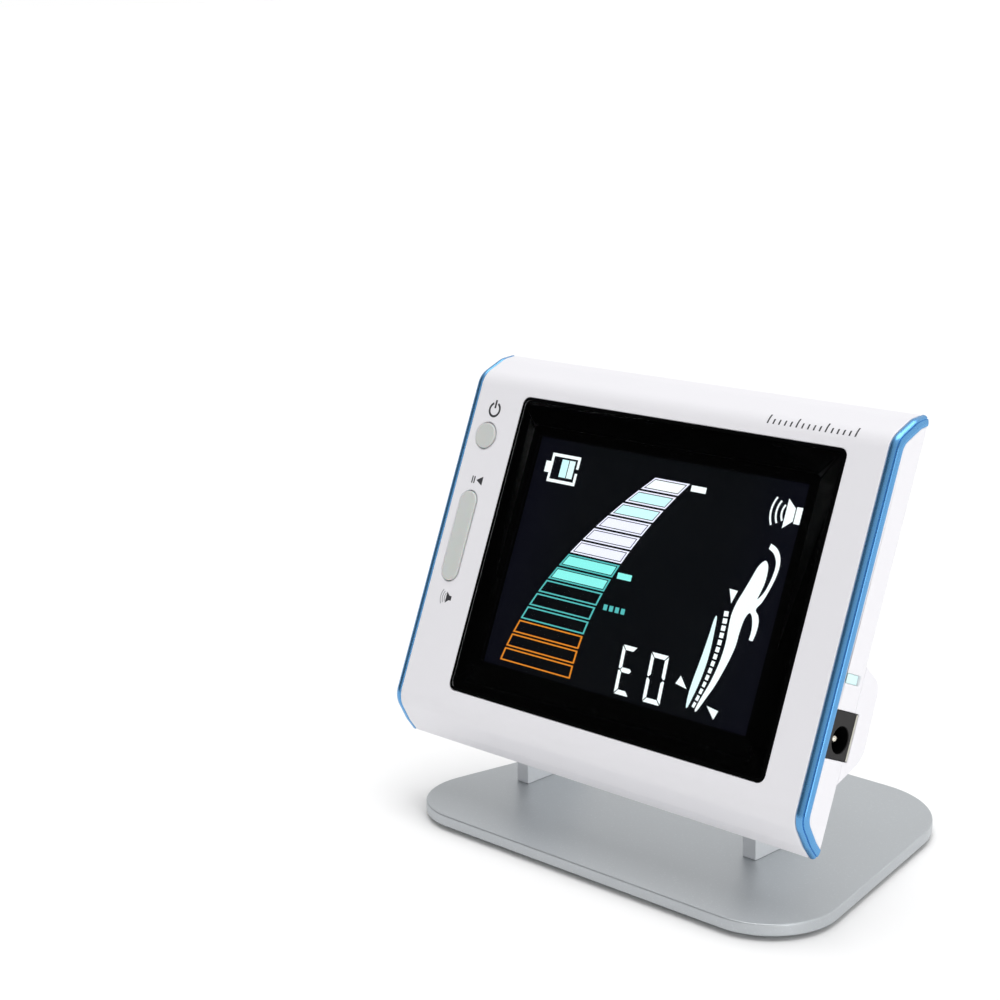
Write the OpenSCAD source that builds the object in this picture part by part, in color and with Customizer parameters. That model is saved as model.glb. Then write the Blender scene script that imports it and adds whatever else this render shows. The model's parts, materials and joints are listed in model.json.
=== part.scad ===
// Apex locator: a screen unit that leans back on two upright legs and a flat
// metal base plate. Millimetres, +Z up, X to the right seen from the front,
// Y to the rear. The origin is on the standing surface, under the middle of
// the whole object.
//
// The screen unit is drawn in its own frame: x sideways, y from the face of
// the screen to the rear, z along the screen's height. at_head() leans it back.

/* [Screen unit] */
// Width of the screen unit
head_w = 134; // [130:1:140]
// Depth from the front panel to the flat rear edge
head_d = 9.5; // [9.5:0.1:11]
// Height of the front panel's upper corner above the middle of the screen
panel_top = 43.2; // [42:0.2:46]
// Depth of the front panel's lower corner below the middle of the screen
panel_bottom = 45.3; // [44:0.2:48]
// Depth at which the top and bottom faces turn a second time
crown_d = 6; // [5.5:0.1:6.5]
// Height of the upper second turn above the middle of the screen
crown_top = 49.1; // [48.5:0.1:49.5]
// Height of the rear upper edge above the middle of the screen
rear_top = 50.9; // [50.4:0.1:51.4]
// Depth of the lower second turn below the middle of the screen
crown_bottom = 50.3; // [49.9:0.1:50.5]
// Depth of the rear lower edge below the middle of the screen
rear_bottom = 52.4; // [52:0.1:53]
// Radius of the bends between these faces
edge_r = 6; // [4:0.5:7]
// Wall thickness of the front shell
wall = 2; // [1.8:0.1:2.4]
// Lean of the screen from upright
lean = 23; // [15:1:30]
// Height of the middle of the screen above the standing surface
screen_z = 70.5; // [68:0.5:80]
// Distance of the middle of the screen in front of the base plate's middle
screen_y = -21.6; // [-25:0.1:-18]

/* [Screen] */
// Width of the cover glass
glass_w = 102; // [98:1:104]
// Height of the cover glass
glass_h = 78; // [74:1:80]
// Thickness of the cover glass
glass_t = 1; // [0.8:0.1:1.1]
// Corner radius of the cover glass
glass_r = 2; // [1:0.5:4]
// Sideways place of the screen, towards the socket side
screen_x = 3; // [2:0.5:4]
// Width of the display's lit area
view_w = 86; // [80:1:88]
// Height of the display's lit area
view_h = 60; // [56:1:62]

/* [Keys] */
// Sideways place of the keys
key_x = -58.2; // [-59:0.1:-57]
// Diameter of the round power key
power_key_dia = 6.8; // [6:0.1:7.4]
// Height of the power key above the middle of the screen
power_key_z = 27.2; // [24:0.2:30]
// Length of the rocker key
rocker_len = 24.2; // [20:0.2:26]
// Width of the rocker key
rocker_w = 5.7; // [5:0.1:6.4]
// Travel of the power key
key_travel = 0.5; // [0.3:0.05:0.6]

/* [Trim beads] */
// Width of the trim bead across the panel
bead_w = 2.55; // [2:0.05:2.8]
// Depth of the trim bead along the side
bead_d = 2.2; // [1.8:0.1:2.4]

/* [Sockets] */
// Height of the charging socket's face
jack_h = 11; // [10:0.5:12]
// Width of the charging socket's face
jack_w = 9; // [8:0.5:9]
// Length of the charging socket's body
jack_len = 14; // [12:0.5:14.4]
// Diameter of the charging socket's hole
jack_hole_dia = 6.4; // [6:0.1:6.6]
// Diameter of the charging socket's centre pin
jack_pin_dia = 2; // [1.65:0.05:2.5]
// Height of the hole's middle below the middle of the screen
jack_hole_z = -25; // [-26:0.1:-24]
// Height of the lead socket's middle below the middle of the screen
probe_z = -11.2; // [-12:0.1:-10]

/* [Rear pod] */
// Depth of the pod's deepest point
pod_d = 17.2; // [16:0.1:18]
// Upper edge of the pod on the flat rear
pod_top = -7.4; // [-9:0.2:-6]
// Lower edge of the pod on the flat rear
pod_bottom = -35; // [-36:0.2:-34]
// Wall thickness of the rear shell
rear_wall = 1.6; // [1.4:0.1:2]

/* [Stand] */
// Thickness of the base plate
plate_t = 3; // [2.5:0.5:4]
// Depth of the base plate
plate_d = 92; // [88:1:96]
// Width across the front corners before rounding
plate_front_w = 133; // [128:1:136]
// Width across the rear corners before rounding
plate_rear_w = 96; // [90:1:110]
// Radius of the front corners
plate_front_r = 17.5; // [12:0.5:20]
// Radius of the rear corners
plate_rear_r = 26; // [20:1:28]
// Sideways place of the base plate, towards the socket side
plate_x = 4.2; // [0:0.1:4.5]
// Thickness of a leg
leg_t = 4.1; // [3.5:0.1:4.5]
// Depth of a leg at the base plate
leg_d = 24; // [20:1:28]
// Distance of the legs' front faces in front of the base plate's middle
leg_front = 16; // [15:0.5:17]
// Distance between the legs' middles
leg_gap = 76.2; // [70:0.1:78]
// Sideways place of the pair of legs
legs_x = -4.2; // [-4.5:0.1:0]
// Height of the rubber feet
pad_h = 1.2; // [1:0.1:2]

/* [Hinge] */
// Height of the hinge axis below the middle of the screen
hinge_s = -22; // [-23:0.1:-21]
// Depth of the hinge axis behind the screen
hinge_d = 12.5; // [12.4:0.1:12.8]
// Diameter of the hinge pins
hinge_pin_dia = 3.5; // [3:0.1:3.6]
// Radius of the eye at the top of a leg
eye_r = 3.8; // [3.6:0.1:3.9]
// Thickness of a friction washer
washer_t = 0.5; // [0.4:0.1:0.6]

/* [Hidden] */
$fn = 48;

fit_gap = 0.05;          // gap between pieces of one rigid group
turn_gap = 0.05;         // radial clearance of a turning fit
move_gap = 0.3;          // gap around a moving key
half_w = head_w / 2;
plate_top = pad_h + plate_t;
side_wall = 4;           // side wall behind the panel, under the trim beads
side_wall_rear = 2;      // side wall further back
side_step = 4.4;         // depth at which the side wall becomes thinner
board_d = 6.5;           // depth of the main board's front face
board_t = 1.2;
board_right = 57;
board_left = -62;
board_half_h = 34;
jack_side = 50.4;        // inner end of the sockets' space
rear_in = head_d - rear_wall;
jack_face = half_w - 0.3;
jack_d0 = bead_d + fit_gap; // depth of the sockets' front faces
jack_z0 = jack_hole_z - 4.5;
jack_hole_d = jack_d0 + jack_w / 2;
jack_hole_depth = 9;
probe_x0 = 57;           // inner end of the lead socket
probe_face = half_w - 1.5;
probe_w = 6.5;           // the lead socket's width along the depth
probe_h = 3.6;
probe_wall = 0.5;        // its walls at both ends
probe_rim = 0.75;        // its walls above and below
tongue_d = [2.4, 5.6];   // depths of the contact tongue's two edges
tongue_h = 1;
socket_board_right = 62;
socket_board_d = 13;
socket_board_top = jack_z0 + jack_h + 1.45;
slot_w = leg_t + 2 * washer_t + 4 * turn_gap;
cheek_t = 2.4;
slot_top = hinge_s + eye_r + 0.5;
slot_bottom = pod_bottom - 1.5;
slot_floor = hinge_d - eye_r - 0.3;
ledge_w = 7;
cover_gap = 0.15;
screw_z_cover = -20.5;
hinge_y = screen_y + hinge_s * sin(lean) + hinge_d * cos(lean);
hinge_z = screen_z + hinge_s * cos(lean) - hinge_d * sin(lean);
leg_xs = [legs_x - leg_gap / 2, legs_x + leg_gap / 2];
leg_screw_ys = [5, leg_d - 5];
pad_places = [[-44, -35], [52.4, -35], [-32, 34], [40.4, 34]];
case_screw_places = [[-58.5, 39.5], [2, 39.5], [58.5, 39.5],
    [-58.5, -41.5], [2, -41.5], [58.5, -41.5]];
board_screw_places = [[-47.5, 30.5], [-47.5, -30.5], [54.2, 30.5], [54.2, 2]];
chip_places = [[-19, -19, 10, 10], [-4, -22, 7, 7], [8, -17, 6, 9]];
switch_places = [power_key_z, rocker_len / 2 - 3, -rocker_len / 2 + 3];
key_flange_d = wall + 0.15;
pivot_d = 3.4;           // depth of the rocker's pivot
pivot_r = 0.6;
lug_x = rocker_w / 2 + 1.2;
plunger_d = board_d - 1.8; // depth of the switches' plungers
key_proud = 0.35;        // how far the keys stand out of the panel
lcd_half_w = 46;
lcd_half_h = 33;
lcd_back = 4;            // depth of the display's rear face
ribbon_half_w = 15;
chip_h = 0.9;
speaker_x = -56;
speaker_z = -21;
speaker_d = [8.9, 10.5, 14]; // depths of its rear end, step and front
speaker_r = [4, 6.5];
battery_w = 46;
battery_h = 13;
battery_z = -21;
battery_d = [8.8, 14.2]; // depths of its two faces
screw_r = 1.25;          // the casing's and the legs' screws
screw_head_r = 2.3;
leg_screw_head_r = 2.4;
leg_screw_len = 9;
small_screw_r = 1;       // the board's and the battery cover's screws
cover_screw_head_r = 1.8;

// ---------- outlines ----------

function unit(v) = v / norm(v);

// Corner points of an outline, each [x, y, radius], with its corners rounded.
function rounded(p, n = 10) = [for (i = [0 : len(p) - 1])
    let (
        here = [p[i][0], p[i][1]],
        before = p[(i + len(p) - 1) % len(p)],
        after = p[(i + 1) % len(p)],
        u = unit([before[0], before[1]] - here),
        v = unit([after[0], after[1]] - here),
        half = acos(u * v) / 2,
        r = p[i][2],
        c = here + unit(u + v) * r / sin(half),
        a = atan2(-(u + v)[1], -(u + v)[0]),
        side = sign(u[0] * v[1] - u[1] * v[0])
    )
    each r == 0 ? [here]
        : [for (k = [0 : n]) let (b = a + side * (90 - half) * (1 - 2 * k / n))
            c + r * [cos(b), sin(b)]]];

// The way into the solid from its edge from a to b, with the solid on the right.
function inward(a, b) = let (v = (b - a) / norm(b - a)) [v[1], -v[0]];

// The corner b between the edges from a and to c, set in by a distance.
function set_in(a, b, c, inset) =
    let (m = inward(a, b), n = inward(b, c)) b + inset * (m + n) / (1 + m * n);

// The edge from a to b, set in by a distance and drawn on to a depth.
function drawn_on(a, b, inset, depth) =
    let (v = b - a, p = b + inset * inward(a, b)) p + v * (depth - p[0]) / v[0];

// Side profile of the screen unit, as [depth, height], set in by a distance.
// It runs past the rear edge by `past`.
function head_profile(inset = 0, past = 0) =
    let (
        high = [[0, panel_top], [crown_d, crown_top], [head_d, rear_top]],
        low = [[0, -panel_bottom], [crown_d, -crown_bottom],
            [head_d, -rear_bottom]],
        rear = head_d + past,
        bend = [max(edge_r - inset, 0.5)]
    )
    rounded([concat(set_in(low[0], high[0], high[1], inset), bend),
        concat(set_in(high[0], high[1], high[2], inset), bend),
        concat(drawn_on(high[1], high[2], inset, rear), [0]),
        concat(drawn_on(low[1], low[2], -inset, rear), [0]),
        concat(set_in(low[2], low[1], low[0], inset), bend),
        concat(set_in(low[1], low[0], high[0], inset), bend)]);

// Side profile of the pod, as [depth, height], set in by a distance.
function pod_profile(inset = 0, from = head_d) =
    let (
        top = pod_top - inset * 1.2,
        low = pod_bottom + inset * 1.2,
        in_head = from < head_d
    )
    rounded([if (in_head) [from, top, 0], [head_d, top, 0],
        [pod_d - 0.7 - inset, pod_top - 3.2 - inset * 0.8, max(4.5 - inset, 1)],
        [pod_d - inset, pod_bottom + 7 + inset, max(6 - inset, 1)],
        [head_d, low, 0], if (in_head) [from, low, 0]]);

// ---------- helpers ----------

// Puts the screen unit's own frame in its leaning place.
module at_head() {
    translate([0, screen_y, screen_z]) rotate([-lean, 0, 0]) children();
}

// A side profile, given as [depth, height], drawn out from x0 to x1.
module across(x0, x1) {
    translate([x0, 0, 0]) rotate([90, 0, 90]) linear_extrude(x1 - x0) children();
}

// A flat outline on the panel, given as [x, height], from depth d0 to d1.
module through(d0, d1) {
    translate([0, d1, 0]) rotate([90, 0, 0]) linear_extrude(d1 - d0) children();
}

// A round bar along the depth at [x, height].
module post(place, d0, d1, r) {
    translate([place[0], d0, place[1]]) rotate([-90, 0, 0])
        cylinder(h = d1 - d0, r = r);
}

// A round bar sideways at [depth, height].
module crossbar(place, x0, x1, r) {
    translate([x0, place[0], place[1]]) rotate([0, 90, 0])
        cylinder(h = x1 - x0, r = r);
}

// A box between two corners.
module block(low, high) {
    translate(low) cube(high - low);
}

// A rectangle with round corners about a middle.
module round_rect(w, h, r, middle = [0, 0]) {
    translate(middle) polygon(rounded([[-w / 2, -h / 2, r], [w / 2, -h / 2, r],
        [w / 2, h / 2, r], [-w / 2, h / 2, r]], 6));
}

// A pill outline standing upright.
module pill(w, h) {
    square([w, h - w], center = true);
    for (end = [-1, 1]) translate([0, end * (h - w) / 2]) circle(d = w);
}

// A countersunk screw: its head's outer face at the origin, its tip along +Z.
module countersunk_screw(r, head_r, length) {
    difference() {
        union() {
            cylinder(h = head_r - r, r1 = head_r, r2 = r);
            cylinder(h = length, r = r);
        }
        for (turn = [0, 90]) rotate([0, 0, turn])
            translate([-head_r * 0.55, -0.2, -1]) cube([head_r * 1.1, 0.4, 1.5]);
    }
}

// The cut that a countersunk screw needs.
module screw_cut(r, head_r, length) {
    translate([0, 0, -1]) cylinder(h = 1.001, r = head_r + fit_gap);
    cylinder(h = head_r - r, r1 = head_r + fit_gap, r2 = r + fit_gap);
    cylinder(h = length, r = r + fit_gap);
}

// A flat-headed screw: its head's outer face at the origin, its tip along +Z.
module flat_screw(r, head_r, head_h, length) {
    difference() {
        union() {
            cylinder(h = head_h, r = head_r);
            cylinder(h = length, r = r);
        }
        for (turn = [0, 90]) rotate([0, 0, turn])
            translate([-head_r * 0.55, -0.2, -1]) cube([head_r * 1.1, 0.4, 1.4]);
    }
}

// Places a screw so that it goes in from the rear at [x, height].
module from_rear(place, depth) {
    translate([place[0], depth, place[1]]) rotate([90, 0, 0]) children();
}

// ---------- stand ----------

module base_plate() {
    color("silver") difference() {
        translate([plate_x, 0, pad_h]) linear_extrude(plate_t)
            polygon(rounded([
                [-plate_front_w / 2, -plate_d / 2, plate_front_r],
                [plate_front_w / 2, -plate_d / 2, plate_front_r],
                [plate_rear_w / 2, plate_d / 2, plate_rear_r],
                [-plate_rear_w / 2, plate_d / 2, plate_rear_r]], 14));
        for (x = leg_xs, y = leg_screw_ys) translate([x, y - leg_front, pad_h])
            screw_cut(screw_r, leg_screw_head_r, plate_t + 1);
    }
}

module rubber_feet() {
    color("dimgray") for (place = pad_places) translate([place[0], place[1], 0]) {
        cylinder(h = pad_h, r = 5);
    }
}

module leg(x) {
    eye = [hinge_y, hinge_z];
    foot_h = 9;
    front = [-leg_front, plate_top + foot_h];
    rear = [-leg_front + leg_d, plate_top + foot_h];
    front_tilt = unit(front - eye);
    rear_tilt = unit(rear - eye);
    a_front = atan2(-front_tilt[0], front_tilt[1]) + 360;
    a_rear = atan2(rear_tilt[0], -rear_tilt[1]);
    steps = 24;
    difference() {
        across(x - leg_t / 2, x + leg_t / 2) polygon(concat(
            [front, [-leg_front, plate_top], [-leg_front + leg_d, plate_top],
                rear],
            [for (k = [0 : steps])
                let (b = a_rear + (a_front - a_rear) * k / steps)
                eye + eye_r * [cos(b), sin(b)]]));
        crossbar(eye, x - leg_t, x + leg_t, hinge_pin_dia / 2 + turn_gap);
        for (y = leg_screw_ys) translate([x, y - leg_front, plate_top - 1])
            cylinder(h = leg_screw_len - 1, r = screw_r + fit_gap);
    }
}

module left_leg() {
    color("silver") leg(leg_xs[0]);
}

module right_leg() {
    color("silver") leg(leg_xs[1]);
}

module leg_screws() {
    color("dimgray") for (x = leg_xs, y = leg_screw_ys)
        translate([x, y - leg_front, pad_h])
            countersunk_screw(screw_r, leg_screw_head_r, leg_screw_len);
}

// ---------- hinge ----------

module hinge_pins() {
    reach = slot_w / 2 + cheek_t + 0.4;
    color("gray") at_head() for (x = leg_xs)
        crossbar([hinge_d, hinge_s], x - reach, x + reach, hinge_pin_dia / 2);
}

module friction_washers() {
    color("black") at_head() for (x = leg_xs, side = [-1, 1])
        translate([side * (leg_t / 2 + turn_gap + washer_t / 2), 0, 0])
            difference() {
                crossbar([hinge_d, hinge_s], x - washer_t / 2, x + washer_t / 2,
                    eye_r - 0.1);
                crossbar([hinge_d, hinge_s], x - washer_t, x + washer_t,
                    hinge_pin_dia / 2 + fit_gap);
            }
}

// ---------- casing ----------

// The steps for the trim beads at both sides.
module bead_steps() {
    for (side = [-1, 1]) intersection() {
        difference() {
            across(-half_w - 1, half_w + 1) polygon(head_profile(-1, 1));
            across(-half_w - 2, half_w + 2)
                polygon(head_profile(bead_d, 2));
        }
        block([side < 0 ? -half_w - 1 : half_w - bead_w, -2, -60],
            [side < 0 ? -half_w + bead_w : half_w + 1, head_d + 1, 60]);
    }
}

module key_holes() {
    through(-1, wall + 1) {
        translate([key_x, power_key_z]) circle(d = power_key_dia + 2 * move_gap);
        translate([key_x, 0])
            pill(rocker_w + 2 * move_gap, rocker_len + 2 * move_gap);
    }
}

module socket_cuts() {
    cut = 0.1;
    block([jack_face - jack_len - cut, jack_d0 - fit_gap, jack_z0 - cut],
        [half_w + 1, jack_d0 + jack_w + cut, jack_z0 + jack_h + cut]);
    block([probe_x0 - cut, jack_d0 - fit_gap, probe_z - probe_h / 2 - cut],
        [probe_face + cut, jack_d0 + probe_w + cut, probe_z + probe_h / 2 + cut]);
    block([probe_x0 - cut, jack_d0 + probe_wall - cut,
            probe_z - probe_h / 2 + probe_rim - cut],
        [half_w + 1, jack_d0 + probe_w - probe_wall + cut,
            probe_z + probe_h / 2 - probe_rim + cut]);
}

module front_shell() {
    color("white") at_head() {
        difference() {
            across(-half_w, half_w) polygon(head_profile());
            intersection() {
                across(-half_w + side_wall, half_w - side_wall)
                    polygon(head_profile(wall, 1));
                block([-half_w, wall, -60], [half_w, head_d + 2, 60]);
            }
            across(-half_w + side_wall_rear, half_w - side_wall_rear)
                polygon(head_profile(side_step, 1));
            bead_steps();
            through(-1, glass_t + 0.1)
                round_rect(glass_w + 0.2, glass_h + 0.2, glass_r, [screen_x, 0]);
            through(-1, wall + 1) round_rect(view_w + 4, view_h + 4, 1,
                [screen_x, 0]);
            key_holes();
            socket_cuts();
        }
        for (place = case_screw_places) difference() {
            post(place, wall - 0.5, rear_in - fit_gap, 2.7);
            post(place, wall + 0.6, rear_in + 1, screw_r + fit_gap);
        }
        for (place = board_screw_places) difference() {
            post(place, wall - 0.5, board_d - fit_gap, 2.2);
            post(place, wall + 0.6, board_d + 1, small_screw_r + fit_gap);
        }
        for (side = [-1, 1]) difference() {
            block([key_x + side * lug_x - 0.6, wall - 0.5, -1.6],
                [key_x + side * lug_x + 0.6, pivot_d + 1.5, 1.6]);
            crossbar([pivot_d, 0], key_x - 8, key_x + 8, pivot_r + fit_gap);
        }
    }
}

// Solid outer shape of the rear shell with its pod. The plate is narrower near
// the front shell's corners, where the side walls are thicker.
module rear_outer() {
    intersection() {
        union() {
            across(-half_w + side_wall + cover_gap, half_w - side_wall - cover_gap)
                polygon(head_profile(wall + cover_gap, 1));
            across(-half_w + side_wall_rear + cover_gap,
                half_w - side_wall_rear - cover_gap)
                polygon(head_profile(side_step + cover_gap, 1));
        }
        block([-half_w, rear_in, -60], [half_w, head_d, 60]);
    }
    across(-half_w, half_w) polygon(pod_profile(0, head_d));
}

module pod_space() {
    across(-half_w + rear_wall, half_w - rear_wall)
        polygon(pod_profile(rear_wall, rear_in - 0.5));
}

// The solid that surrounds one hinge slot, with a ledge for the cover's screw.
module hinge_block(x, inward) {
    intersection() {
        across(-half_w, half_w) polygon(pod_profile(0, slot_floor - 0.5));
        block([x - slot_w / 2 - cheek_t, slot_floor - 0.5, slot_bottom],
            [x + slot_w / 2 + cheek_t, 30, slot_top + 1.6]);
    }
    ledge_x = x + inward * (slot_w / 2 + cheek_t + ledge_w / 2);
    intersection() {
        across(-half_w, half_w)
            polygon(pod_profile(rear_wall + fit_gap, rear_in));
        block([ledge_x - ledge_w / 2, rear_in, screw_z_cover - 3.2],
            [ledge_x + ledge_w / 2, 30, screw_z_cover + 3.2]);
    }
}

module hinge_slot(x) {
    block([x - slot_w / 2, slot_floor, slot_bottom],
        [x + slot_w / 2, 30, slot_top]);
}

// The part of the pod's wall that the battery cover fills.
module cover_zone(grow) {
    left = leg_xs[0] + slot_w / 2 + cheek_t + 1 - grow;
    right = leg_xs[1] - slot_w / 2 - cheek_t - 1 + grow;
    block([left, hinge_d, pod_bottom + 6 - grow],
        [right, 30, pod_top - 5 + grow]);
}

function cover_screw_places() = [
    [leg_xs[0] + slot_w / 2 + cheek_t + ledge_w / 2 + 0.5, screw_z_cover],
    [leg_xs[1] - slot_w / 2 - cheek_t - ledge_w / 2 - 0.5, screw_z_cover]];

module speaker_holes() {
    post([speaker_x, speaker_z], pod_d - 4, pod_d + 2, 0.7);
    for (turn = [0 : 60 : 300]) post([speaker_x + 3.2 * cos(turn),
        speaker_z + 3.2 * sin(turn)], pod_d - 4, pod_d + 2, 0.7);
}

module rear_shell() {
    color("white") at_head() difference() {
        union() {
            difference() {
                rear_outer();
                pod_space();
                cover_zone(cover_gap);
            }
            hinge_block(leg_xs[0], 1);
            hinge_block(leg_xs[1], -1);
        }
        for (x = leg_xs) {
            hinge_slot(x);
            crossbar([hinge_d, hinge_s], x - 7, x + 7,
                hinge_pin_dia / 2 + fit_gap);
        }
        socket_cuts();
        speaker_holes();
        for (place = case_screw_places) from_rear(place, head_d)
            screw_cut(screw_r, screw_head_r, 4);
        for (place = cover_screw_places()) from_rear(place, pod_d)
            cylinder(h = 6, r = small_screw_r + fit_gap);
    }
}

module battery_cover() {
    color("white") at_head() difference() {
        intersection() {
            difference() {
                across(-half_w, half_w) polygon(pod_profile());
                across(-half_w - 1, half_w + 1)
                    polygon(pod_profile(rear_wall, 0));
            }
            cover_zone(0);
        }
        for (place = cover_screw_places()) {
            from_rear(place, pod_d + 1) cylinder(h = 2, r = cover_screw_head_r + 0.1);
            from_rear(place, pod_d + 1)
                cylinder(h = 6, r = small_screw_r + fit_gap);
        }
    }
}

module battery_cover_screws() {
    color("dimgray") at_head() for (place = cover_screw_places())
        from_rear(place, pod_d - 0.35)
            flat_screw(small_screw_r, cover_screw_head_r, 0.6, 5);
}

module case_screws() {
    color("dimgray") at_head() for (place = case_screw_places)
        from_rear(place, head_d) countersunk_screw(screw_r, screw_head_r, 6);
}

module trim(side) {
    x0 = side < 0 ? -half_w : half_w - bead_w + fit_gap;
    x1 = side < 0 ? -half_w + bead_w - fit_gap : half_w;
    color("cornflowerblue") at_head() difference() {
        across(x0, x1) polygon(head_profile());
        across(x0 - 1, x1 + 1) polygon(head_profile(bead_d - fit_gap, 2));
    }
}

module left_trim() {
    trim(-1);
}

module right_trim() {
    trim(1);
}

// ---------- screen ----------

module screen_glass() {
    color("black") at_head() through(0, glass_t)
        round_rect(glass_w, glass_h, glass_r, [screen_x, 0]);
}

module screen_mask() {
    color("black") at_head() through(glass_t, glass_t + 0.1) difference() {
        round_rect(glass_w - 1, glass_h - 1, glass_r, [screen_x, 0]);
        round_rect(view_w, view_h, 0.5, [screen_x, 0]);
    }
}

module lcd_panel() {
    color("midnightblue") at_head() block(
        [screen_x - lcd_half_w, wall + fit_gap, -lcd_half_h],
        [screen_x + lcd_half_w, lcd_back, lcd_half_h]);
}

module backlight() {
    color("ghostwhite") at_head() block(
        [screen_x - lcd_half_w, lcd_back + fit_gap, -lcd_half_h],
        [screen_x + lcd_half_w, board_d - 0.3, lcd_half_h]);
}

module lcd_ribbon() {
    film = 0.3;
    color("orange") at_head() difference() {
        block([screen_x - ribbon_half_w, lcd_back - 1, -lcd_half_h - 3 * film],
            [screen_x + ribbon_half_w, board_d, -lcd_half_h - fit_gap]);
        block([screen_x - ribbon_half_w - 1, wall, -lcd_half_h - 2 * film],
            [screen_x + ribbon_half_w + 1, board_d - film, -lcd_half_h]);
    }
}

// ---------- electronics ----------

module main_board() {
    color("darkgreen") at_head() difference() {
        block([board_left, board_d, -board_half_h],
            [board_right, board_d + board_t, board_half_h]);
        block([jack_side, board_d - 1, -board_half_h - 1],
            [board_right + 1, board_d + board_t + 1, -4]);
        for (place = board_screw_places)
            post(place, board_d - 1, board_d + board_t + 1, small_screw_r + fit_gap);
    }
}

module board_chips() {
    color("black") at_head() for (chip = chip_places)
        block([chip[0] - chip[2] / 2, board_d + board_t, chip[1] - chip[3] / 2],
            [chip[0] + chip[2] / 2, board_d + board_t + chip_h,
                chip[1] + chip[3] / 2]);
}

module board_screws() {
    color("dimgray") at_head() for (place = board_screw_places)
        from_rear(place, board_d) translate([0, 0, fit_gap])
            cylinder(h = 3.4, r = small_screw_r);
}

module key_switches() {
    color("black") at_head() for (z = switch_places) {
        block([key_x - 2.25, board_d - 1.4, z - 2.25],
            [key_x + 2.25, board_d, z + 2.25]);
        post([key_x, z], plunger_d, board_d - 1, 0.9);
    }
}

module power_key() {
    color("gainsboro") at_head() {
        post([key_x, power_key_z], -key_proud, key_flange_d + 0.6,
            power_key_dia / 2);
        post([key_x, power_key_z], key_flange_d, key_flange_d + 0.8, 4.3);
        post([key_x, power_key_z], key_flange_d,
            plunger_d - key_travel - 0.1, 1.4);
    }
}

module rocker_key() {
    color("gainsboro") at_head() difference() {
        union() {
            through(-key_proud, pivot_d - 0.8) translate([key_x, 0])
                pill(rocker_w, rocker_len);
            crossbar([pivot_d, 0], key_x - 2.6, key_x + 2.6, 1.3);
            for (z = [switch_places[1], switch_places[2]])
                post([key_x, z], pivot_d - 1.2, plunger_d - 0.5, 1.2);
        }
        crossbar([pivot_d, 0], key_x - 6, key_x + 6, pivot_r + turn_gap);
    }
}

module rocker_pivot() {
    color("gray") at_head() crossbar([pivot_d, 0], key_x - lug_x - 0.6,
        key_x + lug_x + 0.6, pivot_r);
}

module dc_jack() {
    color("black") at_head() difference() {
        block([jack_face - jack_len, jack_d0, jack_z0],
            [jack_face, jack_d0 + jack_w, jack_z0 + jack_h]);
        crossbar([jack_hole_d, jack_hole_z], jack_face - jack_hole_depth,
            jack_face + 1, jack_hole_dia / 2);
    }
}

module dc_jack_pin() {
    color("gold") at_head() crossbar([jack_hole_d, jack_hole_z],
        jack_face - jack_hole_depth, jack_face - 1.2, jack_pin_dia / 2);
}

module probe_socket() {
    color("gray") at_head() difference() {
        block([probe_x0, jack_d0, probe_z - probe_h / 2],
            [probe_face, jack_d0 + probe_w, probe_z + probe_h / 2]);
        block([probe_x0 + 1, jack_d0 + probe_wall,
                probe_z - probe_h / 2 + probe_rim],
            [half_w, jack_d0 + probe_w - probe_wall,
                probe_z + probe_h / 2 - probe_rim]);
    }
}

module probe_contacts() {
    color("turquoise") at_head() block(
        [probe_x0 + 1, jack_d0 + tongue_d[0], probe_z - tongue_h / 2],
        [half_w - 0.8, jack_d0 + tongue_d[1], probe_z + tongue_h / 2]);
}

module socket_board() {
    color("darkgreen") at_head() {
        block([jack_side + 0.2, jack_d0 + 0.4, jack_z0 + jack_h + fit_gap],
            [socket_board_right, socket_board_d, socket_board_top]);
        block([probe_x0 + 0.5, jack_d0 + 1, socket_board_top],
            [socket_board_right - 0.5, jack_d0 + 6,
                probe_z - probe_h / 2 - fit_gap]);
    }
}

module battery() {
    color("steelblue") at_head() through(battery_d[0], battery_d[1])
        round_rect(battery_w, battery_h, 1.5, [legs_x, battery_z]);
}

module speaker() {
    color("black") at_head() {
        post([speaker_x, speaker_z], speaker_d[1], speaker_d[2], speaker_r[1]);
        post([speaker_x, speaker_z], speaker_d[0], speaker_d[1], speaker_r[0]);
    }
}

base_plate();
rubber_feet();
left_leg();
right_leg();
leg_screws();
hinge_pins();
friction_washers();
front_shell();
rear_shell();
left_trim();
right_trim();
screen_glass();
screen_mask();
lcd_panel();
backlight();
lcd_ribbon();
main_board();
board_chips();
board_screws();
key_switches();
power_key();
rocker_key();
rocker_pivot();
dc_jack();
dc_jack_pin();
probe_socket();
probe_contacts();
socket_board();
battery();
battery_cover();
battery_cover_screws();
speaker();
case_screws();
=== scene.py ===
"""Looks of the apex locator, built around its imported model.

The object is a screen unit that leans back on two upright legs and a flat metal
plate. Each piece is shaped on a bench: a setting-out frame in millimetres. The
stand's bench is the object's own frame. The head's bench has x sideways, y from
the face of the screen towards the rear, and z along the screen's height. When a
piece is done its mesh is set down in the object's frame, in metres.
"""

from __future__ import annotations

import json  # noqa: E402
import logging  # noqa: E402
import math  # noqa: E402
from collections.abc import Callable, Sequence  # noqa: E402
from dataclasses import dataclass, field  # noqa: E402
from enum import Enum  # noqa: E402
from functools import cache  # noqa: E402

import bpy  # noqa: E402
from mathutils import Matrix, Vector  # noqa: E402

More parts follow.
